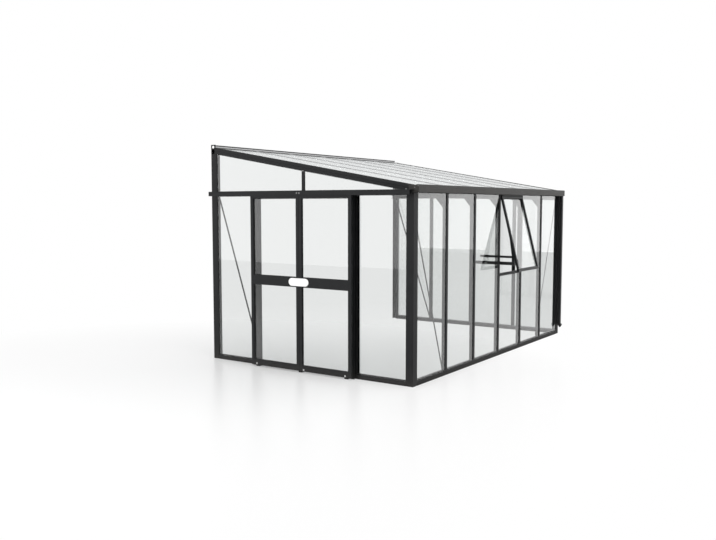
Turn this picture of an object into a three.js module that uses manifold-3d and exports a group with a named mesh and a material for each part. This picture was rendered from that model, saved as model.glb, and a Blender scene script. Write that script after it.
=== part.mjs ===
// Lean-to greenhouse: glazed walls on three sides, a single-slope sheeted roof with an eave gutter,
// a pair of sliding door leaves in one end and a top-hung window with its opener in the front.
// Millimetres, +Z up. X runs along the front from the door end, Y from the front to the tall back.
import * as THREE from 'three';
import { mergeVertices } from 'three/addons/utils/BufferGeometryUtils.js';
import Module from 'manifold-3d';

const wasm = await Module();
wasm.setup();

// Overall size
const frontBays = 6;
const frontBarPitch = 721;
const frontEndBay = 766;
const gableBays = 4;
const gablePitch = 739.5;
const eaveHeight = 2179;
const ridgeHeight = 2694;
const length = (frontBays - 2) * frontBarPitch + 2 * frontEndBay;
const depth = gableBays * gablePitch;
const roofSlope = (ridgeHeight - eaveHeight) / depth;

// Glazing shared by every wall
const clearance = 0.3;
const glassThickness = 4;
const glassSetback = 8;
const glassEdgeGap = 1.5;
const glassSlotOuter = glassSetback - clearance;
const glassSlotInner = glassSetback + glassThickness + clearance;
const lipThickness = 3.5;
const frameDepth = 62;

// Joined parts run into each other, and cutters past what they cut, by this much
const overrun = 1;

// Base rails
const baseHeight = 56;
const baseSeat = 44;
const baseWall = 4;
const baseNose = 22;
const baseNoseDrop = 2;
const baseLip = 50;
const baseLipTip = 2;

// Front and far-end glazing bars
const capHalf = 20.5;
const capChamfer = 2;
const neckHalf = 4;
const webHalf = 2.5;
const channelHalf = 11;
const channelDepth = 13;
const channelWall = 2.5;
const channelMouthHalf = 5;

// Corner posts
const cornerFrontWidth = 90;
const cornerGableWidth = 90;
const cornerWall = 4;
const cornerFluteDepth = 1.5;
const cornerFlutePitch = 18;
const cornerReturn = 64;
const cornerLipRecess = 3;
const cornerSlotDepth = 20;
const cornerFlutes = [1, 2, 3];

// Wall posts
const wallPostWidth = 90;
const wallPostFlange = 50;
const wallPostWall = 4;
const wallPostSlotDepth = 18;

// Roof sheets, rafters and their cappings
const sheetThickness = 10;
const sheetJointGap = 1;
const sheetsPerRoof = 3;
const baysPerSheet = frontBays / sheetsPerRoof;
const roofCapDepth = 6.7;
const rafterDepth = 77;
const gableRafterDepth = 78;
const gableRafterCap = 36;
const gableRafterShelf = 44;
const gableRafterBox = 24;
const gableRafterGroove = 12;
const gableRafterWall = 10;
const gableFluteRise = 18;
const gableFluteHeight = 23;
const gableFluteDepth = 3;
const sheetOverhang = 25;
const sheetEndGap = 8;
const sheetSlot = sheetThickness + 2 * clearance;
const sheetDrop = roofCapDepth + sheetSlot;

// Eave beam with its gutter
const gutterReach = 62;
const gutterRise = 4;
const gutterTop = eaveHeight + gutterRise;
const gutterWall = 3;
const gutterLip = 8;
const gutterEdge = 3;
const gutterFoot = 4;
const gutterFluteRises = [24, 50];
const beamDrop = 81;
const beamBottom = eaveHeight - beamDrop;
const beamPlate = 14;
const beamWebDrop = 58;
const beamGroove = 10;
const endPlateThickness = 4;
const endPlateInset = 0.5;
const beamInnerFace = frameDepth + clearance + lipThickness;
const outletSize = 34;

// Downpipe
const pipeSize = 44;
const pipeWall = 2;
const pipeStandOff = 8;
const pipeFromCorner = 45;
const pipeBendHeight = 150;
const pipeShoeLength = 30;
const pipeShoeAngle = THREE.MathUtils.degToRad(40);
const pipeClampShares = [0.25, 0.75];
const pipeClampHeight = 16;
const pipeBoreRun = 5;

// Ridge rail
const ridgeDepth = 60;
const ridgeWall = 4;
const ridgeBottom = ridgeHeight - roofSlope * wallPostWidth - gableRafterDepth;
const ridgeUpstand = 26;
const ridgeLipReach = 84;
const ridgeLipGap = 2.5;
const ridgeLipThickness = 3;

// Knee and wind braces
const kneeSize = 180;
const kneeFootHeight = 105;
const kneePlate = 4;
const kneeFlange = 24;
const kneeEdge = 6;
const kneeFoot = 3;
const braceWidth = 22;
const braceThickness = 3;
const gableBraceDrop = 61;
const gableBraceTop = beamBottom - gableBraceDrop;
const frontBraceDrop = 88;
const frontBraceTop = beamBottom - frontBraceDrop;
const braceFoot = 90;

// Door
const doorOffset = 11;
const doorCentre = depth / 2 + doorOffset;
const doorHalfOpening = 700;
const jambWidth = 55;
const jambProud = 46;
const jambWall = 4;
const jambSlotDepth = 18;
const jambFootLap = 10;
const headerDrop = 25;
const headerBottom = beamBottom - headerDrop;
const headerHeight = 56;
const headerTop = headerBottom + headerHeight;
const headerDepth = 40;
const headerGroove = 10;
const upperPaneRise = 10;
const leafOverlap = 41;
const leafWidth = doorHalfOpening + leafOverlap;
const leafThickness = 36;
const leafStandOff = 54;
const leafBottom = 18;
const leafTopRise = 25;
const leafTop = headerBottom + leafTopRise;
const leafEdge = 2;
const leafOuterStile = 45;
const leafMeetingStile = 43;
const leafTopRail = 58;
const leafBottomRail = 70;
const leafMiddleRail = 113;
const leafMiddleRise = 8.5;
const leafMiddleHeight = (leafBottom + leafTop) / 2 + leafMiddleRise;
const leafGlassBite = 9;
const leafMeetingGap = 1;
const trackWall = 3;
const trackGap = 6;
const trackLedge = 3.5;
const trackLedgeHeight = 27;
const trackRoof = 4;
const trackWallGap = 40;
const mullionHalf = 19;
const guidePlate = 3;
const guidePlateLip = 3;
const guideLength = 46;
const guideInset = 42;
const guideFin = 3;
const guideFinTop = 30;
const guideGrooveWidth = 9;
const guideGrooveTop = 37;
const wheelRadius = 9;
const wheelWidth = 4;
const axleRadius = 4;
const hangerLength = 44;
const hangerThickness = 14;
const hangerCrown = 5;
const hangerSink = 2;
const hangerInset = 90;
const gripLength = 290;
const gripHeight = 92;
const gripThickness = 12;
const gripEdge = 3;

// Window
const windowBay = 3;
const windowRestAngle = THREE.MathUtils.degToRad(14.6);
const hingeDrop = 12;
const hingeHeight = beamBottom - hingeDrop;
const hingeOut = 8;
const hingeRadius = 5;
const hingeNeckHalf = 2;
const hingeEndInset = 6;
const hoodWall = 3;
const sashSideGap = 3;
const sashThickness = 28;
const sashOut = 12;
const sashTopGap = 4;
const sashStile = 30;
const sashRail = 36;
const sashEdge = 2;
const sashSillGap = 6;
const sashGlassBite = 8;
const windowHeight = 1016;
const sillTop = hingeHeight - windowHeight;
const sillThickness = 25;
const sillBottom = sillTop - sillThickness;
const sillNose = 8;
const sillNoseHeight = 9;
const sillNoseEdge = 2;
const sillNoseFoot = 4;
const sillSlopeRun = 6;
const sillFillet = 4;
const sillGroove = 10;

// Window opener
const openerInset = 78;
const upperRodRadius = 7;
const lowerRodRadius = 11;
const rodBoreGap = 0.5;
const upperRodRise = 222;
const upperRodHeight = sillTop + upperRodRise;
const lowerRodRise = 137;
const lowerRodHeight = sillTop + lowerRodRise;
const rodInnerEnd = 226;
const rodStagger = 14;
const pinRadius = 4;
const pinSlotHalf = 8;
const pinSlotTopGap = 2;
const pinSlotEndGap = 10;
const pinTravelDown = 34;
const pinRise = 49.7;
const pinHeight = lowerRodHeight + pinRise;
const pinClosedIn = 37.2;
const pinEnd = 2;
const yokeThickness = 8;
const yokeGap = 2;
const yokeRim = 3;
const yokeBack = 2;
const lugHalf = 10;
const lugThickness = 5;
const knobThickness = 12;
const knobRim = 5;
const knobEdge = 1;
const guideBlockFront = 43;
const guideBlockBack = 62;
const guideBlockSide = 8;
const guideBlockCrown = 10;
const guideBlockSink = 2;
const armInset = 11;
const armThickness = 8;
const armTopDrop = 230;
const armRoot = 12;
const armRootSlope = 8;
const armWaist = 6;
const armWaistRise = 260;
const armHeadRise = 28;
const armToeRise = 30;
const armToeRim = 6;
const armRim = 8;

// Finishes
const anthracite = new THREE.MeshStandardMaterial({ color: 0x25282b, roughness: 0.45, metalness: 0.35 });
const blackSteel = new THREE.MeshStandardMaterial({ color: 0x101214, roughness: 0.35, metalness: 0.5 });
const clearGlass = new THREE.MeshStandardMaterial({
  color: 0xdfe9ea, roughness: 0.05, metalness: 0, transparent: true, opacity: 0.35,
});
const roofPlastic = new THREE.MeshStandardMaterial({
  color: 0xe6ebea, roughness: 0.3, metalness: 0, transparent: true, opacity: 0.75,
});
const gripPlastic = new THREE.MeshStandardMaterial({ color: 0xf7f7f5, roughness: 0.4, metalness: 0 });

const greenhouse = new THREE.Group();

// Shapes and solids

function pathOf(points) {
  return new THREE.Path(points.map(([u, v]) => new THREE.Vector2(u, v)));
}

function shapeOf(points, holes = []) {
  const shape = new THREE.Shape(points.map(([u, v]) => new THREE.Vector2(u, v)));
  shape.holes = holes;
  return shape;
}

function rectangle(u0, v0, u1, v1) {
  return [[u0, v0], [u1, v0], [u1, v1], [u0, v1]];
}

function circle(u, v, radius) {
  const shape = new THREE.Shape();
  shape.absarc(u, v, radius, 0, 2 * Math.PI, false);
  return shape;
}

// A rounded slot between two points, used as an outline or as a hole.
function slotBetween(start, end, halfWidth, kind = THREE.Shape) {
  const angle = Math.atan2(end[1] - start[1], end[0] - start[0]);
  const path = new kind();
  path.absarc(end[0], end[1], halfWidth, angle - Math.PI / 2, angle + Math.PI / 2, false);
  path.absarc(start[0], start[1], halfWidth, angle + Math.PI / 2, angle + 3 * Math.PI / 2, false);
  path.closePath();
  return path;
}

function extruded(shape, thickness, bevel) {
  const geometry = new THREE.ExtrudeGeometry(shape, {
    depth: thickness - 2 * bevel,
    bevelEnabled: bevel > 0,
    bevelThickness: bevel,
    bevelSize: bevel,
    bevelOffset: -bevel,
    bevelSegments: 1,
    curveSegments: 8,
  });
  return geometry.translate(0, 0, bevel);
}

const xAxis = new THREE.Vector3(1, 0, 0);
const yAxis = new THREE.Vector3(0, 1, 0);
const zAxis = new THREE.Vector3(0, 0, 1);
const turnAlongX = new THREE.Matrix4().makeBasis(yAxis, zAxis, xAxis);
const turnAlongY = new THREE.Matrix4().makeBasis(xAxis, zAxis, yAxis.clone().negate());

// Outlines for alongX are drawn in Y and Z, for alongY in X and Z, and for alongZ in X and Y.
function alongX(shape, from, to, bevel = 0) {
  return extruded(shape, to - from, bevel).applyMatrix4(turnAlongX).translate(from, 0, 0);
}

function alongY(shape, from, to, bevel = 0) {
  return extruded(shape, to - from, bevel).applyMatrix4(turnAlongY).translate(0, to, 0);
}

function alongZ(shape, from, to, bevel = 0) {
  return extruded(shape, to - from, bevel).translate(0, 0, from);
}

function solidOf(geometry) {
  const bare = geometry.clone();
  bare.deleteAttribute('normal');
  bare.deleteAttribute('uv');
  bare.clearGroups();
  const merged = mergeVertices(bare);
  const mesh = new wasm.Mesh({
    numProp: 3,
    vertProperties: merged.getAttribute('position').array,
    triVerts: new Uint32Array(merged.index.array),
  });
  return new wasm.Manifold(mesh);
}

function geometryOf(solid) {
  const mesh = solid.getMesh();
  const geometry = new THREE.BufferGeometry();
  geometry.setAttribute('position', new THREE.BufferAttribute(new Float32Array(mesh.vertProperties), 3));
  geometry.setIndex(new THREE.BufferAttribute(new Uint32Array(mesh.triVerts), 1));
  geometry.computeVertexNormals();
  return geometry;
}

function joined(...geometries) {
  return geometryOf(geometries.map(solidOf).reduce((whole, next) => whole.add(next)));
}

function cutFrom(base, ...tools) {
  return geometryOf(tools.map(solidOf).reduce((rest, tool) => rest.subtract(tool), solidOf(base)));
}

function addPiece(name, geometry, material, parent = greenhouse) {
  const mesh = new THREE.Mesh(geometry, material);
  mesh.name = name;
  parent.add(mesh);
  return mesh;
}

// Height of the capping's top face above a point in plan.
function roofZ(y) {
  return eaveHeight + roofSlope * y;
}

// Roof members are drawn in the upright plane and sheared up the slope, so their ends stay plumb.
const upTheRoof = new THREE.Matrix4().set(
  1, 0, 0, 0,
  0, 1, 0, 0,
  0, roofSlope, 1, eaveHeight,
  0, 0, 0, 1,
);

// Lines of the front bars and roof rafters, counted from the door end; the ends are the corners.
function barLine(bar) {
  if (bar === 0) return 0;
  return bar === frontBays ? length : frontEndBay + (bar - 1) * frontBarPitch;
}

function mirrorAcross(points, line) {
  return points.map(([u, v]) => [line - u, v]);
}

// Glazing bar section: v runs inwards from the cap's face, u across. The cap and the shoulder hold the
// pane between them, and the web ends in a channel for bolt heads.
function barSection({ capDepth, slot, barDepth, half = capHalf, capped = true, channelled = true }) {
  const shoulder = capDepth + slot;
  const cap = [
    [half - capChamfer, 0],
    [half, capChamfer],
    [half, capDepth],
    [neckHalf, capDepth],
    [neckHalf, shoulder],
  ];
  const body = [
    [half, shoulder],
    [half, shoulder + lipThickness],
    [webHalf, shoulder + lipThickness + capChamfer],
  ];
  const channelFloor = barDepth - channelDepth;
  const channel = [
    [webHalf, channelFloor],
    [channelHalf, channelFloor],
    [channelHalf, barDepth],
    [channelMouthHalf, barDepth],
    [channelMouthHalf, barDepth - channelWall],
    [channelHalf - channelWall, barDepth - channelWall],
    [channelHalf - channelWall, channelFloor + channelWall],
  ];
  const plainEnd = [[webHalf, barDepth]];
  const right = [...(capped ? cap : []), ...body, ...(channelled ? channel : plainEnd)];
  const left = right.map(([u, v]) => [-u, v]).reverse();
  return [...right, ...left];
}

const wallBar = {
  capDepth: glassSlotOuter,
  slot: glassThickness + 2 * clearance,
  barDepth: frameDepth,
};

// Base rail section: u runs inwards from the outer face, v up. The pane stands in the groove behind the lip.
function baseSection() {
  return [
    [0, 0], [0, baseNose], [glassSlotOuter - baseLipTip, baseLip], [glassSlotOuter, baseLip],
    [glassSlotOuter, baseSeat], [glassSlotInner, baseSeat], [glassSlotInner, baseHeight],
    [frameDepth, baseHeight], [frameDepth, baseHeight - baseWall],
    [glassSlotInner + baseWall, baseHeight - baseWall], [glassSlotInner + baseWall, baseSeat - baseWall],
    [glassSlotOuter + baseLipTip / 2, baseSeat - baseWall], [baseWall, baseNose - baseNoseDrop],
    [baseWall, baseWall],
    [frameDepth, baseWall], [frameDepth, 0],
  ];
}

const leafOuterFace = -(leafStandOff + leafThickness);
const leafMiddle = -(leafStandOff + leafThickness / 2);

// Outside the door end's rail stand short plates with the upright fins that guide the leaves.
function leafGuides() {
  const finOuter = leafMiddle - guideFin / 2;
  const finInner = leafMiddle + guideFin / 2;
  const section = [
    [finOuter - guidePlateLip, 0], [finOuter - guidePlateLip, guidePlate], [finOuter, guidePlate],
    [finOuter, guideFinTop], [finInner, guideFinTop], [finInner, guidePlate], [overrun, guidePlate],
    [overrun, 0],
  ];
  const reach = doorHalfOpening - guideInset;
  return [-reach, 0, reach].map((offset) => {
    const middle = doorCentre + offset;
    return alongY(shapeOf(section), middle - guideLength / 2, middle + guideLength / 2);
  });
}

const gableStart = cornerGableWidth + clearance;
const gableEnd = depth - wallPostWidth - clearance;

function addBaseRails() {
  const frontFrom = cornerFrontWidth + clearance;
  addPiece('base_rail_front', alongX(shapeOf(baseSection()), frontFrom, length - frontFrom), anthracite);
  const doorRail = alongY(shapeOf(baseSection()), gableStart, gableEnd);
  addPiece('base_rail_door_end', joined(doorRail, ...leafGuides()), anthracite);
  const farSection = mirrorAcross(baseSection(), length);
  addPiece('base_rail_far_end', alongY(shapeOf(farSection), gableStart, gableEnd), anthracite);
}

// Corner post: an angle with shallow flutes on its front face, a glass slot at the end of each leg and
// a return that the braces bolt to.
function cornerSection() {
  const flutes = cornerFlutes.flatMap((count) => {
    const u = count * cornerFlutePitch - cornerFluteDepth;
    return [
      [u - 2 * cornerFluteDepth, 0], [u - cornerFluteDepth, cornerFluteDepth],
      [u + cornerFluteDepth, cornerFluteDepth], [u + 2 * cornerFluteDepth, 0],
    ];
  });
  const inner = glassSlotInner + lipThickness;
  const frontFloor = cornerFrontWidth - cornerSlotDepth;
  const gableFloor = cornerGableWidth - cornerSlotDepth;
  return [
    [cornerLipRecess, 0], ...flutes, [cornerReturn - cornerWall, 0],
    [cornerReturn - cornerWall + cornerLipRecess, cornerLipRecess], [cornerFrontWidth, cornerLipRecess],
    [cornerFrontWidth, glassSlotOuter], [frontFloor, glassSlotOuter], [frontFloor, glassSlotInner],
    [cornerFrontWidth, glassSlotInner], [cornerFrontWidth, inner], [cornerReturn, inner],
    [cornerReturn, frameDepth], [cornerReturn - cornerWall, frameDepth],
    [cornerReturn - cornerWall, cornerWall], [cornerWall, cornerWall],
    [cornerWall, gableFloor - cornerWall], [inner, gableFloor - cornerWall], [inner, cornerGableWidth],
    [glassSlotInner, cornerGableWidth], [glassSlotInner, gableFloor], [glassSlotOuter, gableFloor],
    [glassSlotOuter, cornerGableWidth], [cornerLipRecess, cornerGableWidth],
    [cornerLipRecess, gableFloor + cornerLipRecess], [0, gableFloor], [0, cornerLipRecess],
  ];
}

function addCornerPosts() {
  const top = beamBottom - clearance;
  addPiece('corner_post_door_end', alongZ(shapeOf(cornerSection()), 0, top), anthracite);
  addPiece('corner_post_far_end', alongZ(shapeOf(mirrorAcross(cornerSection(), length)), 0, top), anthracite);
}

// Wall post: a flat back flange, an outer web and a glass slot, with a lip inside for the brace.
function wallPostSection() {
  const floor = wallPostWidth - wallPostSlotDepth;
  const web = floor - wallPostWall;
  const inner = glassSlotInner + lipThickness;
  const section = [
    [0, 0], [wallPostFlange, 0], [wallPostFlange, wallPostWall], [wallPostWall, wallPostWall],
    [wallPostWall, web], [inner, web], [inner, wallPostWidth - wallPostWall],
    [frameDepth - wallPostWall, wallPostWidth - wallPostWall], [frameDepth - wallPostWall, floor],
    [frameDepth, floor], [frameDepth, wallPostWidth], [glassSlotInner, wallPostWidth],
    [glassSlotInner, floor], [glassSlotOuter, floor], [glassSlotOuter, wallPostWidth],
    [cornerFluteDepth, wallPostWidth], [cornerFluteDepth, floor], [0, web],
  ];
  return section.map(([u, v]) => [u, depth - v]);
}

function addWallPosts() {
  const top = ridgeBottom - clearance;
  addPiece('wall_post_door_end', alongZ(shapeOf(wallPostSection()), 0, top), anthracite);
  addPiece('wall_post_far_end', alongZ(shapeOf(mirrorAcross(wallPostSection(), length)), 0, top), anthracite);
}

function addFrontBars() {
  for (let bar = 1; bar < frontBays; bar += 1) {
    const geometry = alongZ(shapeOf(barSection(wallBar)), baseHeight + clearance, beamBottom - clearance);
    addPiece(`front_bar_${bar}`, geometry, anthracite).position.x = barLine(bar);
  }
}

// Far-end bars stand with their caps outwards, their tops under the gable rafter.
function addFarBars() {
  const section = barSection(wallBar).map(([u, v]) => [-v, u]);
  for (let bar = 1; bar < gableBays; bar += 1) {
    const top = roofZ(bar * gablePitch - capHalf) - gableRafterDepth - clearance;
    const geometry = alongZ(shapeOf(section), baseHeight + clearance, top);
    addPiece(`far_bar_${bar}`, geometry, anthracite).position.set(length, bar * gablePitch, 0);
  }
}

// Eave beam: the gutter trough outside, a grooved plate over the glass and bars, and a deep web inside
// that the rafters and knees are bolted to.
function beamSection() {
  const outer = -gutterReach;
  const trough = beamBottom + gutterWall;
  const flute = cornerFluteDepth;
  const flutes = gutterFluteRises.flatMap((rise) => {
    const z = beamBottom + rise;
    return [
      [outer, z - 2 * flute], [outer + flute, z - flute], [outer + flute, z + flute], [outer, z + 2 * flute],
    ];
  });
  const plateTop = beamBottom + beamPlate;
  const webInner = frameDepth + clearance;
  const underSheet = (y) => roofZ(y) - sheetDrop - clearance;
  return [
    [outer + gutterFoot, beamBottom], [outer, beamBottom + gutterFoot], ...flutes,
    [outer, gutterTop - gutterEdge], [outer + gutterEdge, gutterTop], [outer + gutterLip, gutterTop],
    [outer + gutterLip, gutterTop - gutterWall],
    [outer + gutterWall, gutterTop - gutterWall], [outer + gutterWall, trough], [0, trough],
    [0, underSheet(0)], [gutterWall, underSheet(0)], [gutterWall, plateTop], [webInner, plateTop],
    [webInner, underSheet(webInner)], [beamInnerFace, underSheet(webInner)],
    [beamInnerFace, beamBottom - beamWebDrop], [webInner, beamBottom - beamWebDrop], [webInner, beamBottom],
    [glassSlotInner, beamBottom], [glassSlotInner, beamBottom + beamGroove],
    [glassSlotOuter, beamBottom + beamGroove], [glassSlotOuter, beamBottom],
  ];
}

// End plates close the trough just inside the beam's own outline.
function endPlateSection() {
  const inset = endPlateInset;
  const underCap = (y) => roofZ(y) - roofCapDepth / 2;
  const outer = -gutterReach + inset;
  const inner = beamInnerFace - inset;
  const foot = beamBottom + inset;
  return [
    [outer, foot + gutterFoot], [outer + gutterFoot, foot], [inner, foot], [inner, underCap(inner)],
    [-sheetOverhang, underCap(-sheetOverhang)], [-sheetOverhang, gutterTop - inset],
    [outer, gutterTop - inset],
  ];
}

const windowLeft = barLine(windowBay);
const windowRight = barLine(windowBay + 1);
const sashLeft = windowLeft + capHalf + sashSideGap;
const sashRight = windowRight - capHalf - sashSideGap;

// The window hangs by a round bead in this hood, a half-round seat along the beam's underside.
function hingeHood() {
  const half = hingeRadius + hoodWall;
  const seat = hingeRadius + clearance;
  const hood = new THREE.Shape();
  hood.moveTo(-hingeOut - half, beamBottom + overrun);
  hood.lineTo(-hingeOut - half, hingeHeight);
  hood.lineTo(-hingeOut - seat, hingeHeight);
  hood.absarc(-hingeOut, hingeHeight, seat, Math.PI, 0, true);
  hood.lineTo(-hingeOut + half, hingeHeight);
  hood.lineTo(-hingeOut + half, beamBottom + overrun);
  return alongX(hood, sashLeft + hingeEndInset, sashRight - hingeEndInset);
}

function addEaveBeam() {
  const capEdge = rectangle(0, -roofCapDepth, gableRafterCap, 0);
  const farCapEdge = mirrorAcross(capEdge, length);
  const capFrom = -sheetOverhang;
  const whole = joined(
    alongX(shapeOf(beamSection()), 0, length),
    alongX(shapeOf(endPlateSection()), 0, endPlateThickness),
    alongX(shapeOf(endPlateSection()), length - endPlateThickness, length),
    alongY(shapeOf(capEdge), capFrom, beamInnerFace).applyMatrix4(upTheRoof),
    alongY(shapeOf(farCapEdge), capFrom, beamInnerFace).applyMatrix4(upTheRoof),
    hingeHood(),
  );
  const outletX = length - pipeFromCorner;
  const outletY = -(pipeStandOff + pipeSize / 2);
  const half = outletSize / 2;
  const outlet = rectangle(outletX - half, outletY - half, outletX + half, outletY + half);
  const floorCut = alongZ(shapeOf(outlet), beamBottom - overrun, beamBottom + gutterWall + overrun);
  const webTo = beamInnerFace + overrun;
  const legReach = glassSlotInner + lipThickness + overrun;
  const belowBeam = rectangle(frameDepth, beamBottom - beamWebDrop - overrun, webTo, beamBottom);
  addPiece('eave_beam', cutFrom(
    whole,
    floorCut,
    alongX(shapeOf(belowBeam), -overrun, legReach),
    alongX(shapeOf(belowBeam), length - legReach, length + overrun),
  ), anthracite);
}

// Side view of the pipe, drawn at a given distance inside its outer walls, so that the same outline makes
// the outer body and its bore.
function pipeOutline(inset, run) {
  const front = -(pipeStandOff + pipeSize) + inset;
  const back = -pipeStandOff - inset;
  const mitre = Math.tan(pipeShoeAngle / 2);
  const drop = [-Math.sin(pipeShoeAngle), -Math.cos(pipeShoeAngle)];
  const top = beamBottom - clearance + run;
  const backBend = pipeBendHeight + inset * mitre;
  const frontBend = backBend + (back - front) * mitre;
  const frontLength = pipeShoeLength + inset * mitre + run;
  const backLength = frontLength + 2 * (back - front) * mitre;
  return [
    [back, top], [back, backBend], [back + drop[0] * backLength, backBend + drop[1] * backLength],
    [front + drop[0] * frontLength, frontBend + drop[1] * frontLength], [front, frontBend], [front, top],
  ];
}

function addDownpipe() {
  const centre = length - pipeFromCorner;
  const half = pipeSize / 2;
  const clamps = pipeClampShares.map((share) => {
    const z = share * beamBottom;
    const pad = rectangle(centre - half, -pipeStandOff - overrun, centre + half, -clearance);
    return alongZ(shapeOf(pad), z - pipeClampHeight / 2, z + pipeClampHeight / 2);
  });
  const body = joined(alongX(shapeOf(pipeOutline(0, 0)), centre - half, centre + half), ...clamps);
  const inner = half - pipeWall;
  const bore = alongX(shapeOf(pipeOutline(pipeWall, pipeBoreRun)), centre - inner, centre + inner);
  addPiece('downpipe', cutFrom(body, bore), anthracite);
}

// Ridge rail: an upright back web, a front web under the sheets and a lip over their top edge.
function addRidgeRail() {
  const overRoof = (y, rise) => [y, roofZ(y) + rise];
  const underSheet = -(sheetDrop + clearance);
  const back = depth - ridgeWall;
  const lipTop = ridgeLipGap + ridgeLipThickness;
  const section = [
    [depth, ridgeBottom], [depth, ridgeHeight + ridgeUpstand], [back, ridgeHeight + ridgeUpstand],
    overRoof(back, lipTop), overRoof(depth - ridgeLipReach, lipTop),
    overRoof(depth - ridgeLipReach, ridgeLipGap), overRoof(back, ridgeLipGap),
    [back, ridgeBottom + ridgeWall], [depth - ridgeDepth + ridgeWall, ridgeBottom + ridgeWall],
    overRoof(depth - ridgeDepth + ridgeWall, underSheet), overRoof(depth - ridgeDepth, underSheet),
    [depth - ridgeDepth, ridgeBottom],
  ];
  addPiece('ridge_rail', alongX(shapeOf(section), 0, length), anthracite);
}

const rafterFrom = beamInnerFace + clearance;
const rafterTo = depth - ridgeDepth - clearance;

// Gable rafter section: a stepped outer face, a cap over the sheet's edge, a shelf under it and a groove
// for the panes below.
function gableRafterSection() {
  const groove = gableRafterDepth - gableRafterGroove;
  const fluteFoot = gableFluteRise - gableRafterDepth;
  const fluteTop = fluteFoot + gableFluteHeight;
  return [
    [0, 0], [gableRafterCap, 0], [gableRafterCap, -roofCapDepth], [gableRafterWall, -roofCapDepth],
    [gableRafterWall, -sheetDrop], [gableRafterShelf, -sheetDrop],
    [gableRafterShelf, -sheetDrop - lipThickness], [gableRafterBox, -sheetDrop - lipThickness],
    [gableRafterBox, -gableRafterDepth], [glassSlotInner, -gableRafterDepth], [glassSlotInner, -groove],
    [glassSlotOuter, -groove], [glassSlotOuter, -gableRafterDepth], [0, -gableRafterDepth],
    [0, fluteFoot], [gableFluteDepth, fluteFoot + gableFluteDepth],
    [gableFluteDepth, fluteTop - gableFluteDepth], [0, fluteTop],
  ];
}

function addGableRafters() {
  const near = alongY(shapeOf(gableRafterSection()), rafterFrom, rafterTo).applyMatrix4(upTheRoof);
  addPiece('gable_rafter_door_end', near, anthracite);
  const farSection = mirrorAcross(gableRafterSection(), length);
  const far = alongY(shapeOf(farSection), rafterFrom, rafterTo).applyMatrix4(upTheRoof);
  addPiece('gable_rafter_far_end', far, anthracite);
}

// Knee brace: a thin gusset with a flange along its diagonal edge and another against the front bar.
function kneeParts() {
  const foot = beamBottom - beamWebDrop - clearance - kneeFootHeight;
  const footTop = beamBottom - beamWebDrop - clearance;
  const barFace = frameDepth + clearance;
  const underRafter = (y) => roofZ(y) - rafterDepth;
  const tip = barFace + kneeSize;
  const bite = channelWall;
  const gusset = [
    [barFace, foot], [barFace, footTop], [rafterFrom, footTop], [rafterFrom, underRafter(rafterFrom) + bite],
    [tip, underRafter(tip) + bite], [tip, underRafter(tip)],
  ];
  const diagonal = [
    [barFace, foot], [barFace, foot + kneeEdge], [tip - kneeEdge, underRafter(tip)],
    [tip, underRafter(tip) + bite], [tip, underRafter(tip)],
  ];
  const footFlange = rectangle(barFace, foot, barFace + kneeFoot, footTop);
  return [
    alongX(shapeOf(gusset), -kneePlate / 2, kneePlate / 2),
    alongX(shapeOf(diagonal), -kneeFlange / 2, kneeFlange / 2),
    alongX(shapeOf(footFlange), -kneeFlange / 2, kneeFlange / 2),
  ];
}

// Rafters at a joint between sheets are capped, the ones between lie under a sheet.
function addRoofRafters() {
  for (let rafter = 1; rafter < frontBays; rafter += 1) {
    const capped = rafter % baysPerSheet === 0;
    const section = barSection({ capDepth: roofCapDepth, slot: sheetSlot, barDepth: rafterDepth, capped });
    const shape = shapeOf(section.map(([u, v]) => [u, -v]));
    const rail = alongY(shape, rafterFrom, rafterTo).applyMatrix4(upTheRoof);
    const name = `roof_rafter_${rafter}`;
    addPiece(name, joined(rail, ...kneeParts()), anthracite).position.x = barLine(rafter);
  }
}

function addRoofSheets() {
  const jointGap = neckHalf + sheetJointGap;
  const edge = gableRafterWall + glassEdgeGap;
  for (let sheet = 0; sheet < sheetsPerRoof; sheet += 1) {
    const first = sheet === 0;
    const last = sheet === sheetsPerRoof - 1;
    const from = first ? edge : barLine(sheet * baysPerSheet) + jointGap;
    const to = last ? length - edge : barLine((sheet + 1) * baysPerSheet) - jointGap;
    const top = -(roofCapDepth + clearance);
    const slab = shapeOf(rectangle(from, top - sheetThickness, to, top));
    const geometry = alongY(slab, -sheetOverhang, depth - sheetEndGap).applyMatrix4(upTheRoof);
    addPiece(`roof_sheet_${sheet + 1}`, geometry, roofPlastic);
  }
}

// Door end: header with the sliding track, jambs and the mullion above.
const trackOuter = leafOuterFace - trackGap - trackWall;
const trackInner = -leafStandOff + trackGap + trackWall;

function trackSection(plateEnd) {
  const ledge = headerBottom + trackLedgeHeight;
  const left = trackOuter + trackWall;
  const right = trackInner - trackWall;
  const roof = headerTop - trackRoof;
  return [
    [trackOuter, headerBottom], [left, headerBottom], [left, ledge], [left + trackLedge, ledge],
    [left + trackLedge, ledge + trackWall], [left, ledge + trackWall], [left, roof], [right, roof],
    [right, ledge + trackWall], [right - trackLedge, ledge + trackWall], [right - trackLedge, ledge],
    [right, ledge], [right, headerBottom], [trackInner, headerBottom], [trackInner, roof],
    [plateEnd, roof], [plateEnd, headerTop], [trackOuter, headerTop],
  ];
}

function transomSection() {
  return [
    [0, headerBottom], [glassSlotOuter, headerBottom], [glassSlotOuter, headerBottom + headerGroove],
    [glassSlotInner, headerBottom + headerGroove], [glassSlotInner, headerBottom],
    [headerDepth, headerBottom], [headerDepth, headerTop], [glassSlotInner, headerTop],
    [glassSlotInner, headerTop - headerGroove], [glassSlotOuter, headerTop - headerGroove],
    [glassSlotOuter, headerTop], [0, headerTop],
  ];
}

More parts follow.
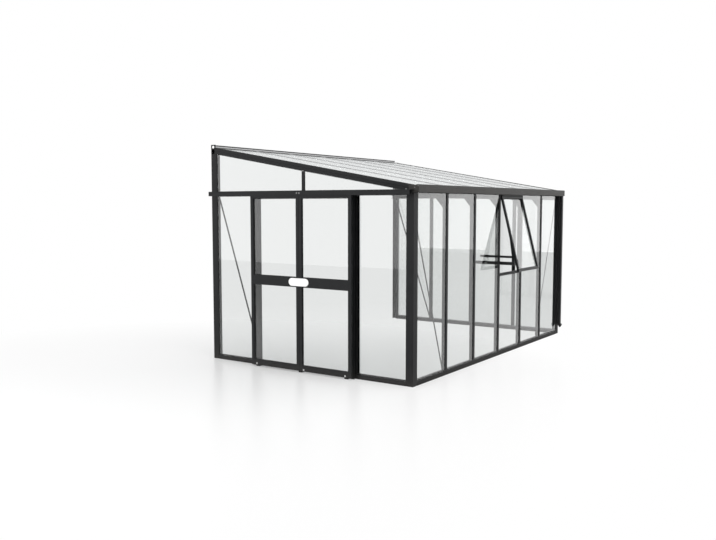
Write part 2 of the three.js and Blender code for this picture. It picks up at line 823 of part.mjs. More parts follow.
function addDoorHeader() {
  const mullionTop = roofZ(doorCentre - mullionHalf) - gableRafterDepth - clearance;
  const mullion = barSection({ ...wallBar, barDepth: headerDepth, half: mullionHalf, channelled: false });
  const mullionShape = shapeOf(mullion.map(([u, v]) => [v, u + doorCentre]));
  const header = joined(
    alongY(shapeOf(transomSection()), gableStart, gableEnd),
    alongY(shapeOf(trackSection(-clearance)), clearance, depth - trackWallGap),
    alongY(shapeOf(trackSection(overrun)), gableStart, gableEnd),
    alongZ(mullionShape, headerTop - headerGroove, mullionTop),
  );
  const underRafter = (y) => roofZ(y) - gableRafterDepth - clearance;
  const slopeEnd = gableStart + headerHeight / roofSlope;
  const rafterPath = [
    [0, underRafter(0)], [slopeEnd, underRafter(slopeEnd)], [0, underRafter(slopeEnd)],
  ];
  const cut = alongX(shapeOf(rafterPath), -clearance, headerDepth + overrun);
  addPiece('door_header', cutFrom(header, cut), anthracite);
}

// Jamb section: t runs from the doorway face towards the fixed pane, x inwards.
function jambSection() {
  const floor = jambWidth - jambSlotDepth;
  const web = floor - jambWall;
  const inner = glassSlotInner + lipThickness;
  const outer = glassSlotOuter - lipThickness;
  return [
    [-jambProud, 0], [frameDepth, 0], [frameDepth, jambWidth], [frameDepth - jambWall, jambWidth],
    [frameDepth - jambWall, jambWall], [glassSlotInner, jambWall], [glassSlotInner, web], [inner, web],
    [inner, jambWidth], [glassSlotInner, jambWidth], [glassSlotInner, floor], [glassSlotOuter, floor],
    [glassSlotOuter, jambWidth], [outer, jambWidth], [outer, web], [glassSlotOuter, web],
    [glassSlotOuter, jambWall], [-jambProud + jambWall, jambWall], [-jambProud + jambWall, jambWidth],
    [-jambProud, jambWidth],
  ];
}

function addDoorJambs() {
  const foot = [
    [-jambProud, 0], [-clearance, 0], [-clearance, jambWall], [-jambProud + jambWall, jambWall],
    [-jambProud + jambWall, jambWidth], [-jambProud, jambWidth],
  ];
  const sides = [['door_jamb_wall_side', 1], ['door_jamb_corner_side', -1]];
  sides.forEach(([name, side]) => {
    const place = ([x, t]) => [x, doorCentre + side * (doorHalfOpening + t)];
    const post = alongZ(shapeOf(jambSection().map(place)), baseHeight + clearance, headerBottom - clearance);
    const outside = alongZ(shapeOf(foot.map(place)), guidePlate + clearance, baseHeight + jambFootLap);
    addPiece(name, joined(post, outside), anthracite);
  });
}

// Far end: a stiffening transom across the inner faces of the bars.
function addFarTransom() {
  const face = length - frameDepth - clearance;
  const wall = jambWall;
  const section = [
    [face, headerBottom], [face, headerTop], [face - headerDepth, headerTop],
    [face - headerDepth, headerTop - wall], [face - wall, headerTop - wall],
    [face - wall, headerBottom + wall], [face - headerDepth, headerBottom + wall],
    [face - headerDepth, headerBottom],
  ];
  addPiece('far_transom', alongY(shapeOf(section), rafterFrom, depth - clearance), anthracite);
}

// Wind braces: flat strips with round ends on the inner faces of the frame.
function addWindBraces() {
  const plane = frameDepth + clearance;
  const postLip = depth - wallPostWidth + wallPostSlotDepth / 2;
  const cornerLip = cornerReturn - cornerWall / 2;
  const half = braceWidth / 2;
  const jambLine = doorCentre + doorHalfOpening + jambWidth / 2 + half / 2;
  const strip = (topAt, top, footAt) => slotBetween([topAt, top], [footAt, braceFoot], half);
  const doorEnd = alongX(strip(postLip, gableBraceTop, jambLine), plane, plane + braceThickness);
  const farStrip = strip(postLip, gableBraceTop, (gableBays - 1) * gablePitch);
  const farEnd = alongX(farStrip, length - plane - braceThickness, length - plane);
  const firstStrip = strip(cornerLip, frontBraceTop, barLine(1));
  const firstBay = alongY(firstStrip, plane, plane + braceThickness);
  const lastStrip = strip(length - cornerLip, frontBraceTop, barLine(frontBays - 1));
  const lastBay = alongY(lastStrip, plane, plane + braceThickness);
  addPiece('wind_brace_door_end', doorEnd, anthracite);
  addPiece('wind_brace_far_end', farEnd, anthracite);
  addPiece('wind_brace_front_near', firstBay, anthracite);
  addPiece('wind_brace_front_far', lastBay, anthracite);
}

// Panes
const paneInner = glassSetback + glassThickness;
const paneBottom = baseSeat + clearance;
const paneTopAtBeam = beamBottom + beamGroove - glassEdgeGap;
const barEdge = neckHalf + glassEdgeGap;

function addFrontPanes() {
  for (let bay = 0; bay < frontBays; bay += 1) {
    const cornerEdge = cornerFrontWidth - cornerSlotDepth + glassEdgeGap;
    const from = bay === 0 ? cornerEdge : barLine(bay) + barEdge;
    const to = bay === frontBays - 1 ? length - cornerEdge : barLine(bay + 1) - barEdge;
    const top = bay === windowBay ? sillBottom + sillGroove - glassEdgeGap : paneTopAtBeam;
    const pane = shapeOf(rectangle(from, paneBottom, to, top));
    addPiece(`front_pane_${bay + 1}`, alongY(pane, glassSetback, paneInner), clearGlass);
  }
}

const postPaneEdge = depth - wallPostWidth + wallPostSlotDepth - glassEdgeGap;
const cornerPaneEdge = cornerGableWidth - cornerSlotDepth + glassEdgeGap;

function underGableRafter(y) {
  return roofZ(y) - gableRafterDepth + gableRafterGroove - glassEdgeGap;
}

function addDoorEndPanes() {
  const jambEdge = doorHalfOpening + jambWidth - jambSlotDepth + glassEdgeGap;
  const top = headerBottom + headerGroove - glassEdgeGap;
  const wallBay = rectangle(doorCentre + jambEdge, paneBottom, postPaneEdge, top);
  const cornerBay = rectangle(cornerPaneEdge, paneBottom, doorCentre - jambEdge, top);
  const upperBottom = headerTop - headerGroove + glassEdgeGap;
  const upperPane = (from, to) => [
    [from, upperBottom], [to, upperBottom], [to, underGableRafter(to)], [from, underGableRafter(from)],
  ];
  const lowestEnd = (upperBottom + upperPaneRise - underGableRafter(0)) / roofSlope;
  const upperCornerStart = Math.max(gableStart + cornerSlotDepth, lowestEnd);
  const panes = [
    ['door_end_pane_wall_bay', wallBay],
    ['door_end_pane_corner_bay', cornerBay],
    ['door_end_pane_upper_wall', upperPane(doorCentre + barEdge, postPaneEdge)],
    ['door_end_pane_upper_corner', upperPane(upperCornerStart, doorCentre - barEdge)],
  ];
  panes.forEach(([name, points]) => {
    addPiece(name, alongX(shapeOf(points), glassSetback, paneInner), clearGlass);
  });
}

function addFarEndPanes() {
  for (let bay = 0; bay < gableBays; bay += 1) {
    const from = bay === 0 ? cornerPaneEdge : bay * gablePitch + barEdge;
    const to = bay === gableBays - 1 ? postPaneEdge : (bay + 1) * gablePitch - barEdge;
    const start = Math.max(from, gableStart);
    const low = paneBottom;
    const points = bay === 0
      ? [[from, low], [to, low], [to, underGableRafter(to)], [start, underGableRafter(start)],
        [start, beamBottom - clearance], [from, beamBottom - clearance]]
      : [[from, low], [to, low], [to, underGableRafter(to)], [from, underGableRafter(from)]];
    const pane = alongX(shapeOf(points), length - paneInner, length - glassSetback);
    addPiece(`far_end_pane_${bay + 1}`, pane, clearGlass);
  }
}

// Sliding leaf: a frame with a deep middle rail, grooved for one tall pane and for the guide fin, with
// two hangers whose wheels run on the track's ledges. meeting is +1 where the meeting stile faces +Y.
function leafFrame(from, to, meeting) {
  const lowStile = meeting > 0 ? leafOuterStile : leafMeetingStile;
  const highStile = meeting > 0 ? leafMeetingStile : leafOuterStile;
  const glassFrom = from + lowStile;
  const glassTo = to - highStile;
  const middleBottom = leafMiddleHeight - leafMiddleRail / 2;
  const middleTop = leafMiddleHeight + leafMiddleRail / 2;
  const lights = [
    pathOf(rectangle(glassFrom, leafBottom + leafBottomRail, glassTo, middleBottom)),
    pathOf(rectangle(glassFrom, middleTop, glassTo, leafTop - leafTopRail)),
  ];
  const inner = -leafStandOff;
  const outline = shapeOf(rectangle(from, leafBottom, to, leafTop), lights);
  const frame = alongX(outline, leafOuterFace, inner, leafEdge);
  const paneHalf = glassThickness / 2 + clearance;
  const bite = leafGlassBite;
  const paneSlot = rectangle(
    glassFrom - bite, leafBottom + leafBottomRail - bite, glassTo + bite, leafTop - leafTopRail + bite,
  );
  const grooveHalf = guideGrooveWidth / 2;
  const finGroove = rectangle(
    leafMiddle - grooveHalf, leafBottom - overrun, leafMiddle + grooveHalf, guideGrooveTop,
  );
  const grooved = cutFrom(
    frame,
    alongX(shapeOf(paneSlot), leafMiddle - paneHalf, leafMiddle + paneHalf),
    alongY(shapeOf(finGroove), from - overrun, to + overrun),
  );
  const axleHeight = headerBottom + trackLedgeHeight + trackWall + clearance + wheelRadius;
  const wheelOuter = trackOuter + trackWall + clearance;
  const wheelInner = trackInner - trackWall - clearance;
  const hangerHalf = hangerThickness / 2;
  const plate = rectangle(
    leafMiddle - hangerHalf, leafTop - hangerSink, leafMiddle + hangerHalf, axleHeight + hangerCrown,
  );
  const hangers = [from + hangerInset, to - hangerInset].flatMap((y) => [
    alongY(shapeOf(plate), y - hangerLength / 2, y + hangerLength / 2),
    alongX(circle(y, axleHeight, axleRadius), wheelOuter, wheelInner),
    alongX(circle(y, axleHeight, wheelRadius), wheelOuter, wheelOuter + wheelWidth),
    alongX(circle(y, axleHeight, wheelRadius), wheelInner - wheelWidth, wheelInner),
  ]);
  return joined(grooved, ...hangers);
}

function leafPane(from, to, meeting) {
  const lowStile = meeting > 0 ? leafOuterStile : leafMeetingStile;
  const highStile = meeting > 0 ? leafMeetingStile : leafOuterStile;
  const reach = leafGlassBite - glassEdgeGap;
  const outline = rectangle(
    from + lowStile - reach, leafBottom + leafBottomRail - reach,
    to - highStile + reach, leafTop - leafTopRail + reach,
  );
  return alongX(shapeOf(outline), leafMiddle - glassThickness / 2, leafMiddle + glassThickness / 2);
}

// Half of a round-ended plate, one on each meeting stile; side is +1 for the half that points to +Y.
function gripPlate(side) {
  const radius = gripHeight / 2;
  const meet = doorCentre + side * leafMeetingGap / 2;
  const end = doorCentre + side * (gripLength / 2 - radius);
  const plate = new THREE.Shape();
  plate.moveTo(meet, leafMiddleHeight - radius);
  plate.lineTo(end, leafMiddleHeight - radius);
  plate.absarc(end, leafMiddleHeight, radius, -Math.PI / 2, Math.PI / 2, side < 0);
  plate.lineTo(meet, leafMiddleHeight + radius);
  const face = leafOuterFace - clearance;
  return alongX(plate, face - gripThickness, face, gripEdge);
}

function addDoorLeaves() {
  const low = doorCentre - leafMeetingGap / 2;
  const high = doorCentre + leafMeetingGap / 2;
  const wallSide = new THREE.Group();
  addPiece('door_leaf_wall_side', leafFrame(high, high + leafWidth, -1), anthracite, wallSide);
  addPiece('door_pane_wall_side', leafPane(high, high + leafWidth, -1), clearGlass, wallSide);
  addPiece('door_grip_wall_side', gripPlate(1), gripPlastic, wallSide);
  const cornerSide = new THREE.Group();
  addPiece('door_leaf_corner_side', leafFrame(low - leafWidth, low, 1), anthracite, cornerSide);
  addPiece('door_pane_corner_side', leafPane(low - leafWidth, low, 1), clearGlass, cornerSide);
  addPiece('door_grip_corner_side', gripPlate(-1), gripPlastic, cornerSide);
  greenhouse.add(wallSide, cornerSide);
}

// Window opener positions. The rods slide level through the guide block while the sash turns, so their
// pin travels along a slot in the sash arm.
const rodX = windowLeft + openerInset;
const armX = sashLeft + armInset;
const yokeX = armX + armThickness + yokeGap;
const pinBelowHinge = hingeHeight - pinHeight;
const slotLean = Math.atan2(pinClosedIn, pinBelowHinge);
const pinRestY = -hingeOut - pinBelowHinge * Math.tan(windowRestAngle - slotLean);

// Sill under the window with the rods' guide block standing on it.
function addWindowSill() {
  const inner = glassSlotInner + baseWall;
  const section = [
    [-sillNose, sillBottom + sillNoseEdge], [-sillNose, sillBottom + sillNoseHeight],
    [glassSetback + sillSlopeRun, sillTop], [frameDepth, sillTop], [frameDepth, sillBottom],
    [frameDepth - baseWall, sillBottom], [frameDepth - baseWall, sillTop - baseWall],
    [inner + sillFillet, sillTop - baseWall], [inner, sillTop - baseWall - sillFillet],
    [inner, sillBottom], [glassSlotInner, sillBottom], [glassSlotInner, sillBottom + sillGroove],
    [glassSlotOuter, sillBottom + sillGroove], [glassSlotOuter, sillBottom],
    [-sillNose + sillNoseFoot, sillBottom],
  ];
  const from = windowLeft + capHalf + clearance;
  const sill = alongX(shapeOf(section), from, windowRight - capHalf - clearance);
  const blockLeft = yokeX + yokeThickness + clearance;
  const blockRight = rodX + lowerRodRadius + guideBlockSide;
  const blockTop = upperRodHeight + upperRodRadius + guideBlockCrown;
  const block = shapeOf(
    rectangle(blockLeft, sillTop - guideBlockSink, blockRight, blockTop),
    [circle(rodX, upperRodHeight, upperRodRadius + rodBoreGap),
      circle(rodX, lowerRodHeight, lowerRodRadius + rodBoreGap)],
  );
  addPiece('window_sill', joined(sill, alongY(block, guideBlockFront, guideBlockBack)), anthracite);
}

// Twin rods with stop knobs inside, joined outside by a yoke whose pin works in the sash arm's slot.
function addOpenerRods() {
  const yokeFront = pinRestY + yokeBack;
  const crossTo = yokeFront + yokeThickness;
  const rodAndKnob = (height, radius, end) => [
    alongY(circle(rodX, height, radius), yokeFront + overrun, end),
    alongY(circle(rodX, height, radius + knobRim), end - knobThickness, end + overrun, knobEdge),
  ];
  const crossLow = lowerRodHeight - lowerRodRadius - yokeRim;
  const crossHigh = upperRodHeight + upperRodRadius + yokeRim;
  const cross = rectangle(yokeX, crossLow, rodX + lowerRodRadius + yokeRim, crossHigh);
  const lug = slotBetween([crossTo, pinHeight], [pinRestY, pinHeight], lugHalf);
  addPiece('opener_rods', joined(
    ...rodAndKnob(upperRodHeight, upperRodRadius, rodInnerEnd),
    ...rodAndKnob(lowerRodHeight, lowerRodRadius, rodInnerEnd + rodStagger),
    alongY(shapeOf(cross), yokeFront, crossTo),
    alongX(lug, yokeX, yokeX + lugThickness),
    alongX(circle(pinRestY, pinHeight, pinRadius), armX - pinEnd, yokeX + pinEnd),
  ), blackSteel);
}

// Sash and its pane are drawn shut, measured from the hinge line, and turned open about it.
const sashFront = hingeOut - sashOut;
const sashBack = sashFront + sashThickness;
const sashHigh = -sashTopGap;
const sashLow = sillTop + sashSillGap - hingeHeight;

function sashArm() {
  const nearest = pinBelowHinge / Math.cos(slotLean);
  const onSlot = (radius) => [radius * Math.sin(slotLean), -radius * Math.cos(slotLean)];
  const slotTop = onSlot(nearest - pinSlotTopGap);
  const slotEnd = onSlot(nearest + pinTravelDown + pinSlotEndGap);
  const hole = slotBetween(slotTop, slotEnd, pinSlotHalf, THREE.Path);
  const back = slotEnd[0] + pinSlotHalf + armRim;
  const toe = slotEnd[1] - pinSlotHalf - armRim;
  const outline = [
    [sashBack - armRoot, -armTopDrop], [sashBack, -armTopDrop - armRootSlope],
    [sashBack + armWaist, slotTop[1] + armWaistRise], [back, slotTop[1] + armHeadRise], [back, toe],
    [slotEnd[0] - pinSlotHalf - armToeRim, toe], [sashBack - armRoot, toe + armToeRise],
  ];
  return alongX(shapeOf(outline, [hole]), armX, armX + armThickness);
}

function sashFrame() {
  const light = rectangle(
    sashLeft + sashStile, sashLow + sashRail, sashRight - sashStile, sashHigh - sashRail,
  );
  const body = shapeOf(rectangle(sashLeft, sashLow, sashRight, sashHigh), [pathOf(light)]);
  const paneFront = glassSetback + hingeOut - clearance;
  const paneBack = paneFront + glassThickness + 2 * clearance;
  const bite = sashGlassBite;
  const paneSlot = rectangle(
    sashLeft + sashStile - bite, sashLow + sashRail - bite,
    sashRight - sashStile + bite, sashHigh - sashRail + bite,
  );
  const grooved = cutFrom(
    alongY(body, sashFront, sashBack, sashEdge),
    alongY(shapeOf(paneSlot), paneFront, paneBack),
  );
  const bead = alongX(circle(0, 0, hingeRadius), sashLeft + hingeEndInset, sashRight - hingeEndInset);
  const neck = rectangle(-hingeNeckHalf, sashHigh - hoodWall, hingeNeckHalf, 0);
  const hanger = alongX(shapeOf(neck), sashLeft + hingeEndInset, sashRight - hingeEndInset);
  return joined(grooved, bead, hanger, sashArm());
}

function sashPane() {
  const reach = sashGlassBite - glassEdgeGap;
  const outline = rectangle(
    sashLeft + sashStile - reach, sashLow + sashRail - reach,
    sashRight - sashStile + reach, sashHigh - sashRail + reach,
  );
  const front = glassSetback + hingeOut;
  return alongY(shapeOf(outline), front, front + glassThickness);
}

function addWindow() {
  const window = new THREE.Group();
  addPiece('window_sash', sashFrame(), anthracite, window);
  addPiece('window_pane', sashPane(), clearGlass, window);
  window.position.set(0, -hingeOut, hingeHeight);
  window.rotation.x = -windowRestAngle;
  greenhouse.add(window);
}

addBaseRails();
addCornerPosts();
addWallPosts();
addFrontBars();
addFarBars();
addEaveBeam();
addDownpipe();
addRidgeRail();
addGableRafters();
addRoofRafters();
addRoofSheets();
addDoorHeader();
addDoorJambs();
addFarTransom();
addWindBraces();
addFrontPanes();
addDoorEndPanes();
addFarEndPanes();
addDoorLeaves();
addWindowSill();
addOpenerRods();
addWindow();

// The origin is the middle of the underside of everything, doors shut and window ajar.
greenhouse.updateMatrixWorld(true);
const extent = new THREE.Box3().setFromObject(greenhouse, true);
const middle = extent.getCenter(new THREE.Vector3());
greenhouse.position.set(-middle.x, -middle.y, -extent.min.z);

export default greenhouse;
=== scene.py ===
import math

import bmesh
import bpy
from mathutils import Matrix, Vector


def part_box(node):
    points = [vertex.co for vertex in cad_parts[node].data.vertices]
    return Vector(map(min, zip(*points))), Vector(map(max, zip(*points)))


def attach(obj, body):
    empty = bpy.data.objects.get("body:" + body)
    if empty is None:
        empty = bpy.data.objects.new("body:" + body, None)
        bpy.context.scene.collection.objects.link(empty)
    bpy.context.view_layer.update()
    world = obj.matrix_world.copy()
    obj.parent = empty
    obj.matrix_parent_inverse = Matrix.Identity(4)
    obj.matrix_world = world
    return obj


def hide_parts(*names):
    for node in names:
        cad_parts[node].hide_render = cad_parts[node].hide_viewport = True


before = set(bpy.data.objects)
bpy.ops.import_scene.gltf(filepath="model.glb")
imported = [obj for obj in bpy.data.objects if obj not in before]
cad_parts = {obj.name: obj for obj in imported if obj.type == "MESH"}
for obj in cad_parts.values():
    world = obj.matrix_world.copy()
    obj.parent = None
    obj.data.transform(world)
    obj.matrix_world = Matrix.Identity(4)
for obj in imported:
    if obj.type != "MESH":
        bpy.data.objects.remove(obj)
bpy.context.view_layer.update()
print("scene: frame loaded")

scene = bpy.context.scene
scene.view_settings.view_transform = "Standard"

# Lines of the frame that the pieces below are set from, in metres.
eaveLow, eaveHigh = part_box("eave_beam")
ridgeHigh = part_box("ridge_rail")[1]
glassInset = 0.008
lines = {
    "doorPlane": eaveLow.x,
    "farPlane": eaveHigh.x,
    "frontPlane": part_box("front_pane_1")[0].y - glassInset,
    "backPlane": ridgeHigh.y,
    "eaveHeight": 2.179,
    "roofRise": 0.515,
    "roofRun": 2.958,
}
roofSlope = lines["roofRise"] / lines["roofRun"]
inward, towardsFar, towardsDoor = Vector((0, 1, 0)), Vector((1, 0, 0)), Vector((-1, 0, 0))


# Height of the capping's top face above a point in plan.
def roofHeight(y):
    return lines["eaveHeight"] + roofSlope * (y - lines["frontPlane"])


# A place measured from the door end's plane, the front's plane and the ground.
def at(x, y, z):
    return Vector((lines["doorPlane"] + x, lines["frontPlane"] + y, z))


# Points of an end's plane, and of a plane along the front, from a pair of numbers.
def endPlane(x):
    return lambda y, z: Vector((x, y, z))


def frontPlane(y):
    return lambda x, z: Vector((x, y, z))


def middleOf(node):
    low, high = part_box(node)
    return (low + high) / 2


# Bays of the front and of an end; the window is in the fourth one, counted from nought as 3.
frontBays, endBays, windowBay = 6, 4, 3
frontBars = [f"front_bar_{count}" for count in range(1, frontBays)]
farBars = [f"far_bar_{count}" for count in range(1, endBays)]
rafterLines = [middleOf(f"roof_rafter_{count}").x for count in range(1, frontBays)]


# Mesh helpers

def newObject(name, data):
    made = bpy.data.objects.new(name, data)
    scene.collection.objects.link(made)
    return made


# The finished mesh of an object that was only there to make it.
def plainMesh(maker):
    bpy.context.view_layer.update()
    plain = bpy.data.meshes.new_from_object(maker.evaluated_get(bpy.context.evaluated_depsgraph_get()))
    maker.modifiers.clear()
    bpy.data.objects.remove(maker)
    return plain


def newPiece(name, shape, material, body="frame"):
    mesh = bpy.data.meshes.new(name)
    bmesh.ops.recalc_face_normals(shape, faces=shape.faces)
    shape.to_mesh(mesh)
    shape.free()
    return finishPiece(name, mesh, material, body)


def finishPiece(name, mesh, material, body="frame"):
    piece = newObject(name, mesh)
    mesh.materials.clear()
    mesh.materials.append(material)
    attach(piece, body)
    return piece


def addBlock(shape, low, high):
    spans = list(zip(low, high))
    corners = [Vector((x, y, z)) for x in spans[0] for y in spans[1] for z in spans[2]]
    verts = [shape.verts.new(corner) for corner in corners]
    for order in ((0, 1, 3, 2), (4, 6, 7, 5), (0, 4, 5, 1), (2, 3, 7, 6), (0, 2, 6, 4), (1, 5, 7, 3)):
        shape.faces.new([verts[index] for index in order])


# A bar between two ends: start and end turn each pair of the outline into a point.
def addPrism(shape, outline, start, end):
    first = [shape.verts.new(start(u, v)) for u, v in outline]
    last = [shape.verts.new(end(u, v)) for u, v in outline]
    count = len(outline)
    for index in range(count):
        after = (index + 1) % count
        shape.faces.new([first[index], first[after], last[after], last[index]])
    shape.faces.new(first[::-1])
    shape.faces.new(last)


# A plate with holes: the outlines lie flat and are pushed out between low and high along X or Y.
def addPlate(shape, outlines, axis, low, high):
    curve = bpy.data.curves.new("plateOutline", "CURVE")
    curve.dimensions = "2D"
    curve.fill_mode = "BOTH"
    curve.extrude = (high - low) / 2
    for outline in outlines:
        line = curve.splines.new("POLY")
        line.points.add(len(outline) - 1)
        for point, (u, v) in zip(line.points, outline):
            point.co = (u, v, 0, 1)
        line.use_cyclic_u = True
    mesh = plainMesh(newObject("plateMaker", curve))
    middle = (low + high) / 2
    upright = ((0, 0, 1, middle), (1, 0, 0, 0), (0, 1, 0, 0), (0, 0, 0, 1))
    if axis == "Y":
        upright = ((1, 0, 0, 0), (0, 0, 1, middle), (0, 1, 0, 0), (0, 0, 0, 1))
    mesh.transform(Matrix(upright))
    shape.from_mesh(mesh)
    bpy.data.meshes.remove(mesh)


def ringOf(centre, radius, sides=32):
    turns = [2 * math.pi * step / sides for step in range(sides)]
    return [(centre[0] + radius * math.cos(turn), centre[1] + radius * math.sin(turn)) for turn in turns]


def addRod(shape, start, end, radius, sides=32):
    along = end - start
    turned = Matrix.Translation((start + end) / 2) @ along.to_track_quat("Z", "Y").to_matrix().to_4x4()
    bmesh.ops.create_cone(
        shape, cap_ends=True, segments=sides, radius1=radius, radius2=radius, depth=along.length,
        matrix=turned,
    )


# Material helpers

def newMaterial(name):
    material = bpy.data.materials.new(name)
    material.use_nodes = True
    tree = material.node_tree
    return material, tree, tree.nodes["Principled BSDF"]


def addNode(tree, kind, inputs=None, **fields):
    node = tree.nodes.new(kind)
    for name, value in fields.items():
        setattr(node, name, value)
    for name, value in (inputs or {}).items():
        socket = node.inputs[name]
        if isinstance(value, bpy.types.NodeSocket):
            tree.links.new(value, socket)
        else:
            socket.default_value = value
    return node


def maths(tree, operation, first, second=0.0, third=0.0, clamp=False):
    inputs = {0: first, 1: second, 2: third}
    return addNode(tree, "ShaderNodeMath", inputs, operation=operation, use_clamp=clamp).outputs[0]


def objectPlace(tree):
    return addNode(tree, "ShaderNodeTexCoord").outputs["Object"]


def noiseOf(tree, place, scale, detail, roughness=0.5):
    inputs = {"Vector": place, "Scale": scale, "Detail": detail, "Roughness": roughness}
    return addNode(tree, "ShaderNodeTexNoise", inputs).outputs["Fac"]


# Goes from the look's colour to its colourHigh while the value goes from low to high.
def shadeBetween(tree, value, look, low=0.3, high=0.7):
    node = addNode(tree, "ShaderNodeValToRGB", {"Fac": value})
    stops = ((low, look["colour"]), (high, look["colourHigh"]))
    for element, (place, colour) in zip(node.color_ramp.elements, stops):
        element.position = place
        element.color = colour
    return node.outputs["Color"]


def mixColour(tree, share, first, second):
    return addNode(tree, "ShaderNodeMix", {0: share, 6: first, 7: second}, data_type="RGBA").outputs[2]


def dressSurface(tree, surface, colour, roughness):
    tree.links.new(colour, surface.inputs["Base Color"])
    tree.links.new(roughness, surface.inputs["Roughness"])


def raiseSurface(tree, surface, strength, distance, height):
    bump = addNode(tree, "ShaderNodeBump", {"Strength": strength, "Distance": distance, "Height": height})
    tree.links.new(bump.outputs["Normal"], surface.inputs["Normal"])


# The share of rays meets a shader of the given kind and inputs, the rest meet the surface.
def divertRays(tree, surface, share, kind, inputs):
    other = addNode(tree, kind, inputs).outputs[0]
    mixed = addNode(tree, "ShaderNodeMixShader", {0: share, 1: surface.outputs["BSDF"], 2: other})
    tree.links.new(mixed.outputs["Shader"], tree.nodes["Material Output"].inputs["Surface"])


def newGroup(name, inputs, outputs):
    tree = bpy.data.node_groups.new(name, "ShaderNodeTree")
    for labels, way in ((inputs, "INPUT"), (outputs, "OUTPUT")):
        for label in labels:
            tree.interface.new_socket(label, in_out=way, socket_type="NodeSocketFloat")
    return tree, tree.nodes.new("NodeGroupInput"), tree.nodes.new("NodeGroupOutput")


# A shared effect, set from the look's values of the same names.
def useGroup(tree, group, look):
    node = tree.nodes.new("ShaderNodeGroup")
    node.node_tree = group
    for socket in node.inputs:
        socket.default_value = look[socket.name]
    return node


# Shared effects

# Orange peel of a baked coating: a fine pebble, a slow wave, and a mottle for the sheen.
def powderGrainGroup():
    tree, given, out = newGroup("powderGrain", ["pebblesPerMetre", "waviness"], ["height", "mottle"])
    place = objectPlace(tree)
    pebble = noiseOf(tree, place, scale=given.outputs["pebblesPerMetre"], detail=3.0, roughness=0.55)
    wave = noiseOf(tree, place, scale=28.0, detail=2.0)
    waved = maths(tree, "MULTIPLY_ADD", wave, given.outputs["waviness"], pebble)
    tree.links.new(waved, out.inputs["height"])
    tree.links.new(noiseOf(tree, place, scale=7.0, detail=5.0), out.inputs["mottle"])
    return tree


# Where two faces meet: the rounded normal leaves the flat one. The edge mask paints a highlight along every
# edge; broken up by noise it gives real chips in the coat.
edgeHighlightAndWearShape = {"edgeHighlightGain": 7.0, "chipGain": 6.0, "chipsPerMetre": 45.0}


def edgeHighlightAndWearGroup():
    tree, given, out = newGroup("edgeHighlightAndWear", ["edgeRadius", "brokenness"], ["edge", "scuff"])
    rounded = addNode(tree, "ShaderNodeBevel", {"Radius": given.outputs["edgeRadius"]}, samples=4)
    flat = addNode(tree, "ShaderNodeNewGeometry").outputs["Normal"]
    normals = {0: rounded.outputs["Normal"], 1: flat}
    dot = addNode(tree, "ShaderNodeVectorMath", normals, operation="DOT_PRODUCT").outputs["Value"]
    edge = maths(tree, "MULTIPLY", maths(tree, "SUBTRACT", 1.0, dot), edgeHighlightAndWearShape["edgeHighlightGain"], clamp=True)
    noise = noiseOf(tree, objectPlace(tree), scale=edgeHighlightAndWearShape["chipsPerMetre"], detail=6.0)
    cut = maths(tree, "SUBTRACT", noise, given.outputs["brokenness"])
    chipped = maths(tree, "MULTIPLY", maths(tree, "MULTIPLY", cut, edgeHighlightAndWearShape["chipGain"], clamp=True), edge)
    tree.links.new(edge, out.inputs["edge"])
    tree.links.new(chipped, out.inputs["scuff"])
    return tree


# Dust and splashes: near the ground, and on faces that look up.
dustShape = {"splashFade": 2.2, "ledgeFade": 3.0, "specksPerMetre": 60.0, "speckFloor": 0.3, "speckGain": 1.8}


def settledDustGroup():
    tree, given, out = newGroup("settledDust", ["splashHeight", "ledgeShare"], ["dust"])
    place = objectPlace(tree)
    height = addNode(tree, "ShaderNodeSeparateXYZ", {0: place}).outputs["Z"]
    share = maths(tree, "DIVIDE", height, given.outputs["splashHeight"])
    low = maths(tree, "POWER", maths(tree, "SUBTRACT", 1.0, share, clamp=True), dustShape["splashFade"])
    facing = addNode(tree, "ShaderNodeNewGeometry").outputs["Normal"]
    up = addNode(tree, "ShaderNodeSeparateXYZ", {0: facing}).outputs["Z"]
    level = maths(tree, "POWER", maths(tree, "MAXIMUM", up, 0.0), dustShape["ledgeFade"])
    ledge = maths(tree, "MULTIPLY", level, given.outputs["ledgeShare"])
    speck = noiseOf(tree, place, scale=dustShape["specksPerMetre"], detail=8.0, roughness=0.7)
    raised = maths(tree, "SUBTRACT", speck, dustShape["speckFloor"])
    speckled = maths(tree, "MULTIPLY", raised, dustShape["speckGain"], clamp=True)
    amount = maths(tree, "MULTIPLY", maths(tree, "MAXIMUM", low, ledge), speckled, clamp=True)
    tree.links.new(amount, out.inputs["dust"])
    return tree


# Faint runs down a surface, and the drops they dried from.
runShape = {"drawnOut": (1.0, 1.0, 0.05), "floor": 0.5, "gain": 3.0, "dropSize": 0.12}


def rainStreaksGroup():
    tree, given, out = newGroup("rainStreaks", ["runsPerMetre", "dropsPerMetre"], ["runs", "drops"])
    place = objectPlace(tree)
    drawn = addNode(tree, "ShaderNodeMapping", {"Vector": place, "Scale": runShape["drawnOut"]})
    runs = noiseOf(tree, drawn.outputs["Vector"], scale=given.outputs["runsPerMetre"], detail=4.0)
    cells = addNode(tree, "ShaderNodeTexVoronoi", {"Vector": place, "Scale": given.outputs["dropsPerMetre"]})
    drop = maths(tree, "LESS_THAN", cells.outputs["Distance"], runShape["dropSize"])
    raised = maths(tree, "SUBTRACT", runs, runShape["floor"])
    tree.links.new(maths(tree, "MULTIPLY", raised, runShape["gain"], clamp=True), out.inputs["runs"])
    tree.links.new(drop, out.inputs["drops"])
    return tree


powderGrain = powderGrainGroup()
edgeHighlightAndWear = edgeHighlightAndWearGroup()
settledDust = settledDustGroup()
rainStreaks = rainStreaksGroup()


# Finishes

